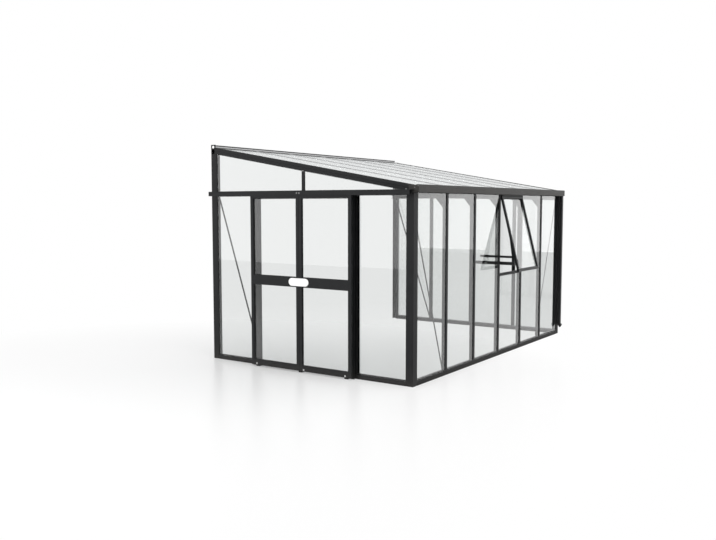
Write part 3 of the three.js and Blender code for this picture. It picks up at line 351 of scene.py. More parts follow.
def coatedMetal(name, look):
    material, tree, surface = newMaterial(name)
    grain = useGroup(tree, powderGrain, look)
    highlightAndWear = useGroup(tree, edgeHighlightAndWear, look)
    dust = useGroup(tree, settledDust, look).outputs["dust"]
    runs = useGroup(tree, rainStreaks, look).outputs["runs"]
    shade = shadeBetween(tree, grain.outputs["mottle"], look)
    # Painted highlight: every edge is lightened towards the look's edge colour; the scuffs, runs and dust are
    # real wear and dirt.
    layers = (
        (highlightAndWear.outputs["edge"], "edgeHighlightShare", "edgeHighlightColour"),
        (highlightAndWear.outputs["scuff"], "scuffShare", "bareColour"),
        (runs, "streakShare", "dustColour"),
        (dust, "dustShare", "dustColour"),
    )
    for amount, share, colour in layers:
        shade = mixColour(tree, maths(tree, "MULTIPLY", amount, look[share]), shade, look[colour])
    sheen = maths(tree, "MULTIPLY_ADD", grain.outputs["mottle"], look["roughnessSpread"], look["roughness"])
    duller = maths(tree, "MULTIPLY_ADD", dust, look["dustRoughness"], sheen, clamp=True)
    dressSurface(tree, surface, shade, duller)
    raiseSurface(tree, surface, look["bump"], look["bumpHeight"], grain.outputs["height"])
    surface.inputs["Specular IOR Level"].default_value = look["specular"]
    return material


# The edge colour and its share paint a highlight along every edge of the coat.
frameLook = {
    "colour": (0.0085, 0.0090, 0.0098, 1), "colourHigh": (0.0125, 0.0132, 0.0142, 1),
    "edgeHighlightColour": (0.035, 0.037, 0.040, 1), "edgeHighlightShare": 0.55,
    "bareColour": (0.16, 0.16, 0.165, 1), "scuffShare": 0.22,
    "dustColour": (0.20, 0.185, 0.165, 1), "dustShare": 0.22, "streakShare": 0.012,
    "pebblesPerMetre": 900.0, "waviness": 0.35, "edgeRadius": 0.0012, "brokenness": 0.56,
    "runsPerMetre": 14.0, "dropsPerMetre": 55.0, "splashHeight": 0.30, "ledgeShare": 0.35,
    "roughness": 0.36, "roughnessSpread": 0.16, "dustRoughness": 0.25,
    "bump": 0.35, "bumpHeight": 0.0003, "specular": 0.17,
}
# Painted light: the gutter and eave strips have the frame's dark coat, drawn lighter because their front
# faces catch more light.
gutterLookPaintedLit = dict(
    frameLook, colour=(0.030, 0.029, 0.028, 1), colourHigh=(0.042, 0.040, 0.038, 1),
    edgeHighlightColour=(0.085, 0.083, 0.08, 1), streakShare=0.05, roughness=0.42,
)
# Painted reflection: the caps are drawn pale grey, standing in for the sheen of a dark coat seen at a grazing
# angle.
capLookPaintedSheen = dict(
    frameLook, colour=(0.34, 0.342, 0.345, 1), colourHigh=(0.42, 0.422, 0.425, 1),
    edgeHighlightColour=(0.50, 0.50, 0.50, 1), edgeHighlightShare=0.3, scuffShare=0.1, streakShare=0.05, roughness=0.22,
    roughnessSpread=0.10, specular=0.5,
)
openerLook = dict(
    frameLook, colour=(0.006, 0.0062, 0.0068, 1), colourHigh=(0.009, 0.0092, 0.0098, 1), roughness=0.26,
    waviness=0.1, dustShare=0.08, pebblesPerMetre=1400.0, specular=0.4,
)


# Parts of the frame that show among the pale caps take their colour and gloss above the roof's face, a
# painted reflection:
# top is the height where the dark coat starts again.
paintedSheenSpan = {"belowCaps": 0.0068, "ridgeLip": 0.013}


def paintedSheenAboveRoof(name, look, above, top):
    material = coatedMetal(name, look)
    tree = material.node_tree
    surface = tree.nodes["Principled BSDF"]
    place = addNode(tree, "ShaderNodeSeparateXYZ", {0: objectPlace(tree)}).outputs
    roofFoot = lines["eaveHeight"] - lines["frontPlane"] * roofSlope - paintedSheenSpan["belowCaps"]
    roof = maths(tree, "MULTIPLY_ADD", place["Y"], roofSlope, roofFoot)
    over = maths(tree, "GREATER_THAN", place["Z"], roof)
    pale = maths(tree, "MULTIPLY", over, maths(tree, "LESS_THAN", place["Z"], top))
    shade = surface.inputs["Base Color"].links[0].from_socket
    tree.links.new(mixColour(tree, pale, shade, above["colourHigh"]), surface.inputs["Base Color"])
    gloss = maths(tree, "MULTIPLY_ADD", pale, above["specular"] - look["specular"], look["specular"])
    tree.links.new(gloss, surface.inputs["Specular IOR Level"])
    return material


frameCoat = coatedMetal("powderCoatedFrame", frameLook)
gutterCoatPaintedLit = coatedMetal("powderCoatedGutterPaintedLit", gutterLookPaintedLit)
capCoatPaintedSheen = coatedMetal("satinRoofCapPaintedSheen", capLookPaintedSheen)
baseCoat = coatedMetal("powderCoatedBase", dict(frameLook, specular=0.06))
rafterCoat = paintedSheenAboveRoof("rafterWithPaintedSheenCap", frameLook, capLookPaintedSheen, ridgeHigh.z)
ridgeCoat = paintedSheenAboveRoof("ridgeWithPaintedSheenLip", frameLook, capLookPaintedSheen, ridgeHigh.z - paintedSheenSpan["ridgeLip"])
openerBlack = coatedMetal("openerBlackSatin", openerLook)


# Toughened glass: faint smears and dried drops, and light passes it freely on its way to other surfaces.
def clearGlassMaterial(look):
    material, tree, surface = newMaterial("clearGlass")
    streaks = useGroup(tree, rainStreaks, look)
    dust = useGroup(tree, settledDust, look).outputs["dust"]
    marks = maths(tree, "MULTIPLY", streaks.outputs["runs"], look["runRoughness"])
    spots = maths(tree, "MULTIPLY_ADD", streaks.outputs["drops"], look["dropRoughness"], marks)
    splashed = maths(tree, "MULTIPLY_ADD", dust, look["splashRoughness"], spots)
    share = maths(tree, "MULTIPLY", dust, look["splashShare"])
    dressSurface(tree, surface, mixColour(tree, share, look["tint"], look["splashTint"]), splashed)
    surface.inputs["Transmission Weight"].default_value = 1.0
    surface.inputs["IOR"].default_value = look["ior"]
    wave = noiseOf(tree, objectPlace(tree), scale=look["wavesPerMetre"], detail=1.0)
    raiseSurface(tree, surface, look["waveBump"], look["waveHeight"], wave)
    path = addNode(tree, "ShaderNodeLightPath")
    passing = maths(tree, "MAXIMUM", path.outputs["Is Shadow Ray"], path.outputs["Is Diffuse Ray"])
    divertRays(tree, surface, passing, "ShaderNodeBsdfTransparent", {"Color": look["passColour"]})
    return material


clearGlass = clearGlassMaterial({
    "tint": (0.76, 0.774, 0.769, 1), "splashTint": (0.72, 0.72, 0.70, 1), "splashShare": 0.25,
    "passColour": (0.80, 0.815, 0.81, 1), "ior": 1.58, "runsPerMetre": 18.0, "dropsPerMetre": 60.0,
    "runRoughness": 0.012, "dropRoughness": 0.006, "splashRoughness": 0.10, "splashHeight": 0.22,
    "ledgeShare": 0.0, "wavesPerMetre": 2.2, "waveBump": 0.05, "waveHeight": 0.001,
})


# Milky sheet: light glows through it, its ribs show as fine lines up the slope, the skins keep their gloss.
def twinWallMaterial(look):
    material, tree, surface = newMaterial("milkyTwinWall")
    runs = useGroup(tree, rainStreaks, look).outputs["runs"]
    place = objectPlace(tree)
    cloud = noiseOf(tree, place, scale=look["cloudsPerMetre"], detail=4.0)
    shade = shadeBetween(tree, cloud, look, low=0.35)
    stained = mixColour(tree, maths(tree, "MULTIPLY", runs, look["stainShare"]), shade, look["stain"])
    across = addNode(tree, "ShaderNodeSeparateXYZ", {0: place}).outputs["X"]
    turn = maths(tree, "MULTIPLY", across, 2 * math.pi / look["ribPitch"])
    wave = maths(tree, "MULTIPLY_ADD", maths(tree, "COSINE", turn), 0.5, 0.5)
    line = maths(tree, "MULTIPLY", maths(tree, "POWER", wave, look["ribSharpness"]), look["ribShare"])
    sheen = maths(tree, "MULTIPLY_ADD", runs, look["roughnessSpread"], look["roughness"])
    dressSurface(tree, surface, mixColour(tree, line, stained, look["ribColour"]), sheen)
    surface.inputs["Transmission Weight"].default_value = look["transmission"]
    surface.inputs["IOR"].default_value = look["ior"]
    surface.inputs["Specular IOR Level"].default_value = look["specular"]
    passing = addNode(tree, "ShaderNodeLightPath").outputs["Is Shadow Ray"]
    divertRays(tree, surface, passing, "ShaderNodeBsdfTransparent", {"Color": look["passColour"]})
    return material


milkySheet = twinWallMaterial({
    "colour": (0.67, 0.69, 0.69, 1), "colourHigh": (0.72, 0.74, 0.74, 1), "cloudsPerMetre": 1.4,
    "stain": (0.54, 0.54, 0.52, 1), "stainShare": 0.06, "runsPerMetre": 9.0, "dropsPerMetre": 40.0,
    "ribPitch": 0.0115, "ribSharpness": 6.0, "ribShare": 0.35, "ribColour": (0.50, 0.52, 0.52, 1),
    "passColour": (0.80, 0.81, 0.81, 1), "roughness": 0.26, "roughnessSpread": 0.05, "transmission": 0.35,
    "ior": 1.45, "specular": 0.5,
})


# Mottled, and scuffed where its faces meet.
def scuffedFinish(name, look):
    material, tree, surface = newMaterial(name)
    grain = useGroup(tree, powderGrain, look)
    highlightAndWear = useGroup(tree, edgeHighlightAndWear, look)
    scuff = maths(tree, "MULTIPLY", highlightAndWear.outputs["scuff"], look["scuffShare"])
    scuffed = mixColour(tree, scuff, shadeBetween(tree, grain.outputs["mottle"], look), look["scuffColour"])
    sheen = maths(tree, "MULTIPLY_ADD", grain.outputs["mottle"], look["roughnessSpread"], look["roughness"])
    dressSurface(tree, surface, scuffed, sheen)
    return material, tree, surface, grain


def mouldedPlastic(name, look):
    material, tree, surface, grain = scuffedFinish(name, look)
    raiseSurface(tree, surface, look["bump"], look["bumpHeight"], grain.outputs["height"])
    surface.inputs["Specular IOR Level"].default_value = look["specular"]
    return material


gripLook = {
    "colour": (0.92, 0.92, 0.91, 1), "colourHigh": (0.95, 0.95, 0.94, 1),
    "scuffColour": (0.66, 0.64, 0.60, 1), "scuffShare": 0.15, "pebblesPerMetre": 700.0, "waviness": 0.1,
    "edgeRadius": 0.002, "brokenness": 0.5, "roughness": 0.30, "roughnessSpread": 0.12, "bump": 0.1,
    "bumpHeight": 0.0002, "specular": 0.5,
}
gripWhite = mouldedPlastic("gripWhitePlastic", gripLook)
sealRubber = mouldedPlastic("sealRubber", dict(
    gripLook, colour=(0.010, 0.010, 0.010, 1), colourHigh=(0.016, 0.016, 0.016, 1),
    scuffColour=(0.10, 0.10, 0.095, 1), pebblesPerMetre=500.0, roughness=0.62, bump=0.2, specular=0.25,
))
capPlastic = mouldedPlastic("guideCapPlastic", dict(
    gripLook, colour=(0.42, 0.42, 0.42, 1), colourHigh=(0.52, 0.52, 0.51, 1),
    scuffColour=(0.22, 0.21, 0.20, 1), scuffShare=0.3, roughness=0.34,
))


def zincedSteel(name, look):
    material, tree, surface, grain = scuffedFinish(name, look)
    surface.inputs["Metallic"].default_value = 1.0
    return material


boltLook = {
    "colour": (0.50, 0.50, 0.49, 1), "colourHigh": (0.62, 0.62, 0.61, 1),
    "scuffColour": (0.42, 0.42, 0.41, 1), "scuffShare": 0.5, "pebblesPerMetre": 1200.0, "waviness": 0.1,
    "edgeRadius": 0.0008, "brokenness": 0.45, "roughness": 0.3, "roughnessSpread": 0.2,
}
boltSteel = zincedSteel("zincedSteel", boltLook)
dullSteel = zincedSteel("dulledSteel", dict(
    boltLook, colour=(0.17, 0.17, 0.17, 1), colourHigh=(0.24, 0.24, 0.24, 1),
))

finishOf = {"pane": clearGlass, "grip": gripWhite, "opener_rods": openerBlack}
ownFinish = {"eave_beam": gutterCoatPaintedLit, "base_rail_front": baseCoat, "ridge_rail": ridgeCoat}
ownFinish.update({f"roof_rafter_{count}": rafterCoat for count in (2, 4)})
for node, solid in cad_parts.items():
    shared = next((finish for word, finish in finishOf.items() if word in node), frameCoat)
    for place in solid.material_slots:
        place.material = ownFinish.get(node, shared)
print("scene: finishes set")


# Geometry Nodes helpers

def newTree(name, inputs):
    tree = bpy.data.node_groups.new(name, "GeometryNodeTree")
    tree.interface.new_socket("Geometry", in_out="INPUT", socket_type="NodeSocketGeometry")
    kinds = {int: "NodeSocketInt", float: "NodeSocketFloat"}
    for label, value in inputs.items():
        kind = kinds.get(type(value), "NodeSocketMaterial")
        tree.interface.new_socket(label, in_out="INPUT", socket_type=kind).default_value = value
    tree.interface.new_socket("Geometry", in_out="OUTPUT", socket_type="NodeSocketGeometry")
    return tree, tree.nodes.new("NodeGroupInput"), tree.nodes.new("NodeGroupOutput")


# Every tree ends in real geometry with its finish on it.
def endTree(tree, given, out, geometry):
    real = addNode(tree, "GeometryNodeRealizeInstances", {"Geometry": geometry})
    finished = addNode(tree, "GeometryNodeSetMaterial", {
        "Geometry": real.outputs["Geometry"], "Material": given.outputs["finish"],
    })
    tree.links.new(finished.outputs["Geometry"], out.inputs["Geometry"])


def moveShape(tree, geometry, **place):
    offset = addNode(tree, "ShaderNodeCombineXYZ", place).outputs["Vector"]
    moved = addNode(tree, "GeometryNodeTransform", {"Geometry": geometry, "Translation": offset})
    return moved.outputs["Geometry"]


def joinShapes(tree, *parts):
    whole = addNode(tree, "GeometryNodeJoinGeometry")
    for part in parts:
        tree.links.new(part, whole.inputs["Geometry"])
    return whole.outputs["Geometry"]


# Runs a tree once and hands back the plain mesh it makes.
def bakeTree(name, tree, values, mesh=None):
    maker = newObject(name + "Maker", mesh or bpy.data.meshes.new(name + "Seed"))
    modifier = maker.modifiers.new("maker", "NODES")
    modifier.node_group = tree
    for item in tree.interface.items_tree:
        if item.in_out == "INPUT" and item.name in values:
            modifier[item.identifier] = values[item.name]
    return plainMesh(maker)


# Roof panels: two skins held apart by ribs, one panel in each bay, laid on their slope after baking.
roofPanel = {
    "width": 0.72, "length": 2.96, "depth": 0.010, "skin": 0.0008, "ribCount": 60, "ribThickness": 0.0006,
    "ribGap": 0.0001, "finish": milkySheet,
}
panelLay = {"ribPitch": 0.0115, "top": 0.0070, "middleGap": 0.005}


def twinWallTree():
    tree, given, out = newTree("twinWallPanel", roofPanel)
    depth, skin, width = (given.outputs[label] for label in ("depth", "skin", "width"))

    def slab(sizeX, sizeZ, offset):
        size = addNode(tree, "ShaderNodeCombineXYZ", {"X": sizeX, "Y": given.outputs["length"], "Z": sizeZ})
        cube = addNode(tree, "GeometryNodeMeshCube", {"Size": size.outputs["Vector"]})
        return moveShape(tree, cube.outputs["Mesh"], Z=offset)

    clear = maths(tree, "MULTIPLY_ADD", skin, -2.0, depth)
    upper = slab(width, skin, maths(tree, "MULTIPLY", maths(tree, "SUBTRACT", depth, skin), 0.5))
    lower = slab(width, skin, maths(tree, "MULTIPLY", maths(tree, "SUBTRACT", depth, skin), -0.5))
    ribThickness = given.outputs["ribThickness"]
    rib = slab(ribThickness, maths(tree, "SUBTRACT", clear, given.outputs["ribGap"]), 0.0)
    half = maths(tree, "MULTIPLY", maths(tree, "SUBTRACT", width, ribThickness), 0.5)
    start = addNode(tree, "ShaderNodeCombineXYZ", {"X": maths(tree, "MULTIPLY", half, -1.0)})
    end = addNode(tree, "ShaderNodeCombineXYZ", {"X": half})
    row = addNode(tree, "GeometryNodeMeshLine", {
        "Count": given.outputs["ribCount"], "Start Location": start.outputs["Vector"],
        "Offset": end.outputs["Vector"],
    }, mode="END_POINTS")
    ribs = addNode(tree, "GeometryNodeInstanceOnPoints", {"Points": row.outputs["Mesh"], "Instance": rib})
    endTree(tree, given, out, joinShapes(tree, upper, lower, ribs.outputs["Instances"]))
    return tree


panelTree = twinWallTree()


def roofPanelPiece(count):
    sheetLow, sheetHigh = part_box(f"roof_sheet_{count}")
    yFrom, yTo = sheetLow.y, sheetHigh.y
    yMiddle = (yFrom + yTo) / 2
    height = roofHeight(yMiddle) - panelLay["top"] - roofPanel["depth"] / 2
    sloped = Matrix(((1, 0, 0, 0), (0, 1, 0, 0), (0, roofSlope, 1, 0), (0, 0, 0, 1)))
    middle, gap = rafterLines[2 * (count - 1)], panelLay["middleGap"]
    whole = bmesh.new()
    for xFrom, xTo in ((sheetLow.x, middle - gap), (middle + gap, sheetHigh.x)):
        width = xTo - xFrom
        ribCount = max(2, round(width / panelLay["ribPitch"]) + 1)
        values = dict(roofPanel, width=width, length=yTo - yFrom, ribCount=ribCount)
        panel = bakeTree(f"roofPanel{count}", panelTree, values)
        panel.transform(Matrix.Translation(((xFrom + xTo) / 2, yMiddle, height)) @ sloped)
        whole.from_mesh(panel)
        bpy.data.meshes.remove(panel)
    piece = newPiece(f"roof_panels_{count}", whole, milkySheet)
    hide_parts(f"roof_sheet_{count}")


for count in range(1, frontBays // 2 + 1):
    roofPanelPiece(count)
print("scene: roof panels laid")

# Cap strips over the joints between panels: every second one is a short end over the lower edge.
capStrip = {
    "half": 0.0205, "depth": 0.0067, "chamfer": 0.0015, "neckHalf": 0.004, "slot": 0.0104, "overhang": 0.0265,
    "ridgeEnd": 0.0855, "eaveLap": 0.0657,
}


def capStrips():
    half, deep, chamfer = capStrip["half"], capStrip["depth"], capStrip["chamfer"]
    neck = capStrip["neckHalf"]
    foot = deep + capStrip["slot"]
    outline = [
        (-half + chamfer, 0), (-half, -chamfer), (-half, -deep), (-neck, -deep), (-neck, -foot),
        (neck, -foot), (neck, -deep), (half, -deep), (half, -chamfer), (half - chamfer, 0),
    ]
    eaveEnd = lines["frontPlane"] - capStrip["overhang"]
    tops = (lines["frontPlane"] + capStrip["eaveLap"], lines["backPlane"] - capStrip["ridgeEnd"])
    for count, x in enumerate(rafterLines, start=1):
        ends = [
            lambda u, v, x=x, y=y: Vector((x + u, y, roofHeight(y) + v)) for y in (eaveEnd, tops[count % 2])
        ]
        shape = bmesh.new()
        addPrism(shape, outline, *ends)
        newPiece(f"roof_cap_strip_{count}", shape, capCoatPaintedSheen)


# A channel over the panels' lower edge in each bay, with its lip turned down into the gutter.
closer = {
    "endGap": 0.0365, "rafterGap": 0.021, "front": 0.0268, "drop": 0.0062, "lap": 0.018, "skin": 0.0008,
    "lip": 0.0014, "lipDepth": 0.0225,
}


def eaveClosers():
    edges = [lines["doorPlane"] + closer["endGap"], *rafterLines, lines["farPlane"] - closer["endGap"]]
    front = lines["frontPlane"] - closer["front"]
    top = roofHeight(front) - closer["drop"]
    lap, skin, lip, foot = closer["lap"], closer["skin"], closer["lip"], top - closer["lipDepth"]
    outline = [
        (0.0, top), (lap, top + lap * roofSlope), (lap, top - skin + lap * roofSlope), (lip, top - skin),
        (lip, foot), (0.0, foot),
    ]
    shape = bmesh.new()
    for index in range(len(edges) - 1):
        xFrom = edges[index] + (closer["rafterGap"] if index else 0.0)
        xTo = edges[index + 1] - (closer["rafterGap"] if index < len(edges) - 2 else 0.0)
        ends = [lambda u, v, x=x: Vector((x, front + u, v)) for x in (xFrom, xTo)]
        addPrism(shape, outline, *ends)
    newPiece("eave_closing_strips", shape, gutterCoatPaintedLit)


# A plate closes the ridge rail's open end over the door end, with a pale plug in its middle.
ridgeCap = {
    "low": (-0.0030, 2.880, 2.660), "high": (-0.0003, 2.957, 2.719), "edge": 0.0008,
    "plug": (-0.0025, 2.916, 2.690), "plugRadius": 0.017, "plugDepth": 0.004,
}


def ridgeEndCap():
    plate = bmesh.new()
    addBlock(plate, at(*ridgeCap["low"]), at(*ridgeCap["high"]))
    bmesh.ops.bevel(plate, geom=plate.edges[:], offset=ridgeCap["edge"], segments=2, affect="EDGES")
    newPiece("ridge_end_plate", plate, frameCoat)
    plug = bmesh.new()
    foot = at(*ridgeCap["plug"])
    addRod(plug, foot, foot - Vector((ridgeCap["plugDepth"], 0, 0)), ridgeCap["plugRadius"])
    newPiece("ridge_end_plug", plug, gripWhite)


capStrips()
eaveClosers()
ridgeEndCap()
print("scene: caps and eave strips laid")

# Bolts, nuts and screw heads: the tree makes one fastener and stands it on every point it is given.
fastener = {
    "headRadius": 0.0075, "headHeight": 0.0048, "headSides": 6, "washerRadius": 0.0095,
    "washerHeight": 0.0014, "washerSides": 14, "finish": boltSteel,
}


def fastenerTree():
    tree, given, out = newTree("fasteners", fastener)

    def disc(part, base):
        radius, height, sides = (given.outputs[part + label] for label in ("Radius", "Height", "Sides"))
        inputs = {"Vertices": sides, "Radius": radius, "Depth": height}
        made = addNode(tree, "GeometryNodeMeshCylinder", inputs)
        return moveShape(tree, made.outputs["Mesh"], Z=maths(tree, "MULTIPLY_ADD", height, 0.5, base))

    both = joinShapes(tree, disc("washer", 0.0), disc("head", given.outputs["washerHeight"]))
    facing = addNode(tree, "GeometryNodeInputNamedAttribute", {"Name": "facing"}, data_type="FLOAT_VECTOR")
    direction = {"Vector": facing.outputs["Attribute"]}
    turned = addNode(tree, "FunctionNodeAlignRotationToVector", direction, axis="Z")
    placed = addNode(tree, "GeometryNodeInstanceOnPoints", {
        "Points": given.outputs["Geometry"], "Instance": both, "Rotation": turned.outputs["Rotation"],
    })
    endTree(tree, given, out, placed.outputs["Instances"])
    return tree


boltTree = fastenerTree()


# spots are pairs of a place on a face and the direction that face looks in.
def boltPiece(name, spots, material, sizes, body="frame"):
    seed = bpy.data.meshes.new(name + "Points")
    seed.from_pydata([place for place, facing in spots], [], [])
    facings = seed.attributes.new("facing", "FLOAT_VECTOR", "POINT")
    for index, (place, facing) in enumerate(spots):
        facings.data[index].vector = facing
    values = {**fastener, **sizes, "finish": material}
    finishPiece(name, bakeTree(name, boltTree, values, seed), material, body)


# Screws up the roof on the line of every rafter.
capScrew = {
    "first": 0.12, "pitch": 0.44, "count": 7, "headSides": 10, "headRadius": 0.0042, "headHeight": 0.0005,
    "washerRadius": 0.0058, "washerHeight": 0.0003,
}


def roofScrews():
    spots = []
    normal = Vector((0, -roofSlope, 1)).normalized()
    for x in rafterLines:
        for step in range(capScrew["count"]):
            y = lines["frontPlane"] + capScrew["first"] + step * capScrew["pitch"]
            spots.append((Vector((x, y, roofHeight(y))), normal))
    boltPiece("roof_cap_screws", spots, capCoatPaintedSheen, capScrew)


# Small bolts where the knees meet the bars and where the braces end.
jointBolt = {
    "kneeHeights": (1.962, 2.040), "kneeFace": 0.0653, "kneeSide": 0.0075, "braceEnd": 0.011,
    "braceFoot": 0.090, "endBraceTop": 2.037, "frontBraceTop": 2.010, "headRadius": 0.0050,
    "washerRadius": 0.0066, "headHeight": 0.0036,
}


def frameBolts():
    spots = []
    kneeFace = at(0, jointBolt["kneeFace"], 0).y
    for x in (middleOf(bar).x for bar in frontBars):
        for height in jointBolt["kneeHeights"]:
            for side in (-jointBolt["kneeSide"], jointBolt["kneeSide"]):
                spots.append((Vector((x + side, kneeFace, height)), inward))
    end, foot = jointBolt["braceEnd"], jointBolt["braceFoot"]
    for node, topAtLow in (("wind_brace_front_near", True), ("wind_brace_front_far", False)):
        low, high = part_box(node)
        topX, footX = (low.x + end, high.x - end) if topAtLow else (high.x - end, low.x + end)
        spots.append((Vector((topX, high.y, jointBolt["frontBraceTop"])), inward))
        spots.append((Vector((footX, high.y, foot)), inward))
    for node, facing in (("wind_brace_door_end", towardsFar), ("wind_brace_far_end", towardsDoor)):
        low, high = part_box(node)
        x = high.x if facing.x > 0 else low.x
        spots.append((Vector((x, high.y - end, jointBolt["endBraceTop"])), facing))
        spots.append((Vector((x, low.y + end, foot)), facing))
    boltPiece("frame_bolts", spots, boltSteel, jointBolt)


# Screw heads on the door end: a pair on the track's face and one at the corner.
doorEndScrew = {
    "track": (0, 1.490, 2.101), "trackHalf": 0.018, "corner": (0, 0.098, 2.133), "headSides": 12,
    "headRadius": 0.0068, "headHeight": 0.0016,
}


def doorEndScrews():
    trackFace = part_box("door_header")[0].x
    middle, half = at(*doorEndScrew["track"]), doorEndScrew["trackHalf"]
    spots = [(Vector((trackFace, middle.y + side, middle.z)), towardsDoor) for side in (-half, half)]
    spots.append((at(*doorEndScrew["corner"]), towardsDoor))
    boltPiece("door_end_screws", spots, dullSteel, doorEndScrew)


# Pale caps over the guide screws at the foot of each door leaf.
guideCap = {
    "face": -0.0903, "height": 0.037,
    "places": {"door_leaf_wall": (2.148,), "door_leaf_corner": (1.425, 0.832)},
    "headSides": 16, "headRadius": 0.0085, "headHeight": 0.0045, "washerRadius": 0.0115,
    "washerHeight": 0.0018,
}


def guideCaps():
    for body, places in guideCap["places"].items():
        spots = [(at(guideCap["face"], y, guideCap["height"]), towardsDoor) for y in places]
        boltPiece(f"guide_caps_{body}", spots, capPlastic, guideCap, body)


# The gutter's end plate is screwed on with three screws; the far end's would leave the frame's box.
gutterScrew = {
    "places": ((-0.052, 2.166), (-0.010, 2.150), (0.050, 2.115)), "headSides": 10, "headRadius": 0.0036,
    "headHeight": 0.0016, "washerRadius": 0.0052,
}


def gutterScrews():
    spots = [(at(0, y, z), towardsDoor) for y, z in gutterScrew["places"]]
    boltPiece("gutter_end_screws", spots, dullSteel, gutterScrew)


frameBolts()
doorEndScrews()
guideCaps()
gutterScrews()
roofScrews()
print("scene: fasteners placed")

# Glazing seals: a bead of rubber round every light, on the outer face of its glass.
seal = {"radius": 0.0030, "sides": 8, "finish": sealRubber}
light = {
    "leafGlass": -0.074, "baseTop": 0.056, "beamFoot": 2.098, "roofDrop": 0.078, "headerDepth": 0.056,
    "mullion": (1.471, 1.509), "leafRails": ((0.088, 1.010), (1.123, 2.040)), "outerStile": 0.043,
    "meetingStile": 0.045,
}


def sealTree():
    tree, given, out = newTree("glazingSeal", seal)
    path = addNode(tree, "GeometryNodeMeshToCurve", {"Mesh": given.outputs["Geometry"]})
    ring = addNode(tree, "GeometryNodeCurvePrimitiveCircle", {
        "Radius": given.outputs["radius"], "Resolution": given.outputs["sides"],
    })
    bead = addNode(tree, "GeometryNodeCurveToMesh", {
        "Curve": path.outputs["Curve"], "Profile Curve": ring.outputs["Curve"],
    })
    endTree(tree, given, out, bead.outputs["Mesh"])
    return tree


beadTree = sealTree()


def sealPiece(name, loops, body="frame"):
    edges = []
    for loop in loops:
        first = len(edges)
        edges += [(first + index, first + (index + 1) % len(loop)) for index in range(len(loop))]
    path = bpy.data.meshes.new(name + "Path")
    path.from_pydata([point for loop in loops for point in loop], edges, [])
    finishPiece(name, bakeTree(name, beadTree, seal, path), sealRubber, body)


# The four corners of a light, drawn in by the bead's radius: place turns a pair of numbers into a point.
def lightLoop(place, low, high):
    inset = seal["radius"]
    (uFrom, vFrom), (uTo, vTo) = (low[0] + inset, low[1] + inset), (high[0] - inset, high[1] - inset)
    return [place(uFrom, vFrom), place(uTo, vFrom), place(uTo, vTo), place(uFrom, vTo)]


# The corners of a light of an end whose upper edge follows the end rafter.
def leaningLoop(x, yFrom, yTo, foot):
    inset = seal["radius"]
    drop = light["roofDrop"]
    place = endPlane(x)
    yFrom, yTo, foot = yFrom + inset, yTo - inset, foot + inset
    loop = [place(yTo, foot), place(yTo, roofHeight(yTo) - drop - inset)]
    meets = lines["frontPlane"] + (foot + drop + inset - lines["eaveHeight"]) / roofSlope
    if meets > yFrom:
        return [place(meets, foot), *loop]
    return [place(yFrom, foot), *loop, place(yFrom, roofHeight(yFrom) - drop - inset)]


def frontSeals():
    uprights = [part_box(node) for node in ("corner_post_door_end", *frontBars, "corner_post_far_end")]
    tops = [light["beamFoot"]] * frontBays
    tops[windowBay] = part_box("window_sill")[0].z
    place = frontPlane(at(0, glassInset - seal["radius"], 0).y)
    return [
        lightLoop(place, (left[1].x, light["baseTop"]), (right[0].x, top))
        for left, right, top in zip(uprights, uprights[1:], tops)
    ]


def endSeals():
    outer, foot = glassInset - seal["radius"], light["baseTop"]
    doorSide, farSide = at(outer, 0, 0).x, lines["farPlane"] - outer
    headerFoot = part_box("door_header")[0].z
    headerTop = headerFoot + light["headerDepth"]
    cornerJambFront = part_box("door_jamb_corner_side")[0].y
    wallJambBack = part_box("door_jamb_wall_side")[1].y
    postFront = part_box("wall_post_door_end")[0].y
    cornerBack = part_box("corner_post_door_end")[1].y
    mullionLow, mullionHigh = (at(0, y, 0).y for y in light["mullion"])
    loops = [
        lightLoop(endPlane(doorSide), (cornerBack, foot), (cornerJambFront, headerFoot)),
        lightLoop(endPlane(doorSide), (wallJambBack, foot), (postFront, headerFoot)),
        leaningLoop(doorSide, cornerBack, mullionLow, headerTop),
        leaningLoop(doorSide, mullionHigh, postFront, headerTop),
    ]
    edges = [cornerBack, *(side.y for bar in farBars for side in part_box(bar)), postFront]
    return loops + [leaningLoop(farSide, *edges[step:step + 2], foot) for step in range(0, len(edges), 2)]


def leafSeals():
    place = endPlane(at(light["leafGlass"] - seal["radius"], 0, 0).x)
    outer, meeting = light["outerStile"], light["meetingStile"]
    for body, stiles in (("door_leaf_wall", (outer, meeting)), ("door_leaf_corner", (meeting, outer))):
        low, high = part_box(f"{body}_side")
        yFrom, yTo = low.y + stiles[0], high.y - stiles[1]
        loops = [lightLoop(place, (yFrom, foot), (yTo, top)) for foot, top in light["leafRails"]]
        sealPiece(f"seals_{body}", loops, body)


# The sash is drawn shut, measured from its hinge line, and turned open about it.
window = {
    "hingeOut": -0.008, "hingeHeight": 2.086, "restAngle": math.radians(14.6), "stile": 0.030, "rail": 0.036,
    "top": -0.004, "foot": -1.010, "glassFace": 0.0157,
}


def onSash(x, y, z):
    lean = window["restAngle"]
    out = window["hingeOut"] + y * math.cos(lean) + z * math.sin(lean)
    return Vector((x, at(0, out, 0).y, window["hingeHeight"] - y * math.sin(lean) + z * math.cos(lean)))


def sashSeal():
    low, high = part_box("window_sash")
    face = window["glassFace"] - seal["radius"]
    loop = lightLoop(
        lambda x, z: onSash(x, face, z), (low.x + window["stile"], window["foot"] + window["rail"]),
        (high.x - window["stile"], window["top"] - window["rail"]),
    )
    sealPiece("seals_window", [loop], "window")


sealPiece("seals_frame", frontSeals() + endSeals())
leafSeals()
sashSeal()
print("scene: glazing seals laid")

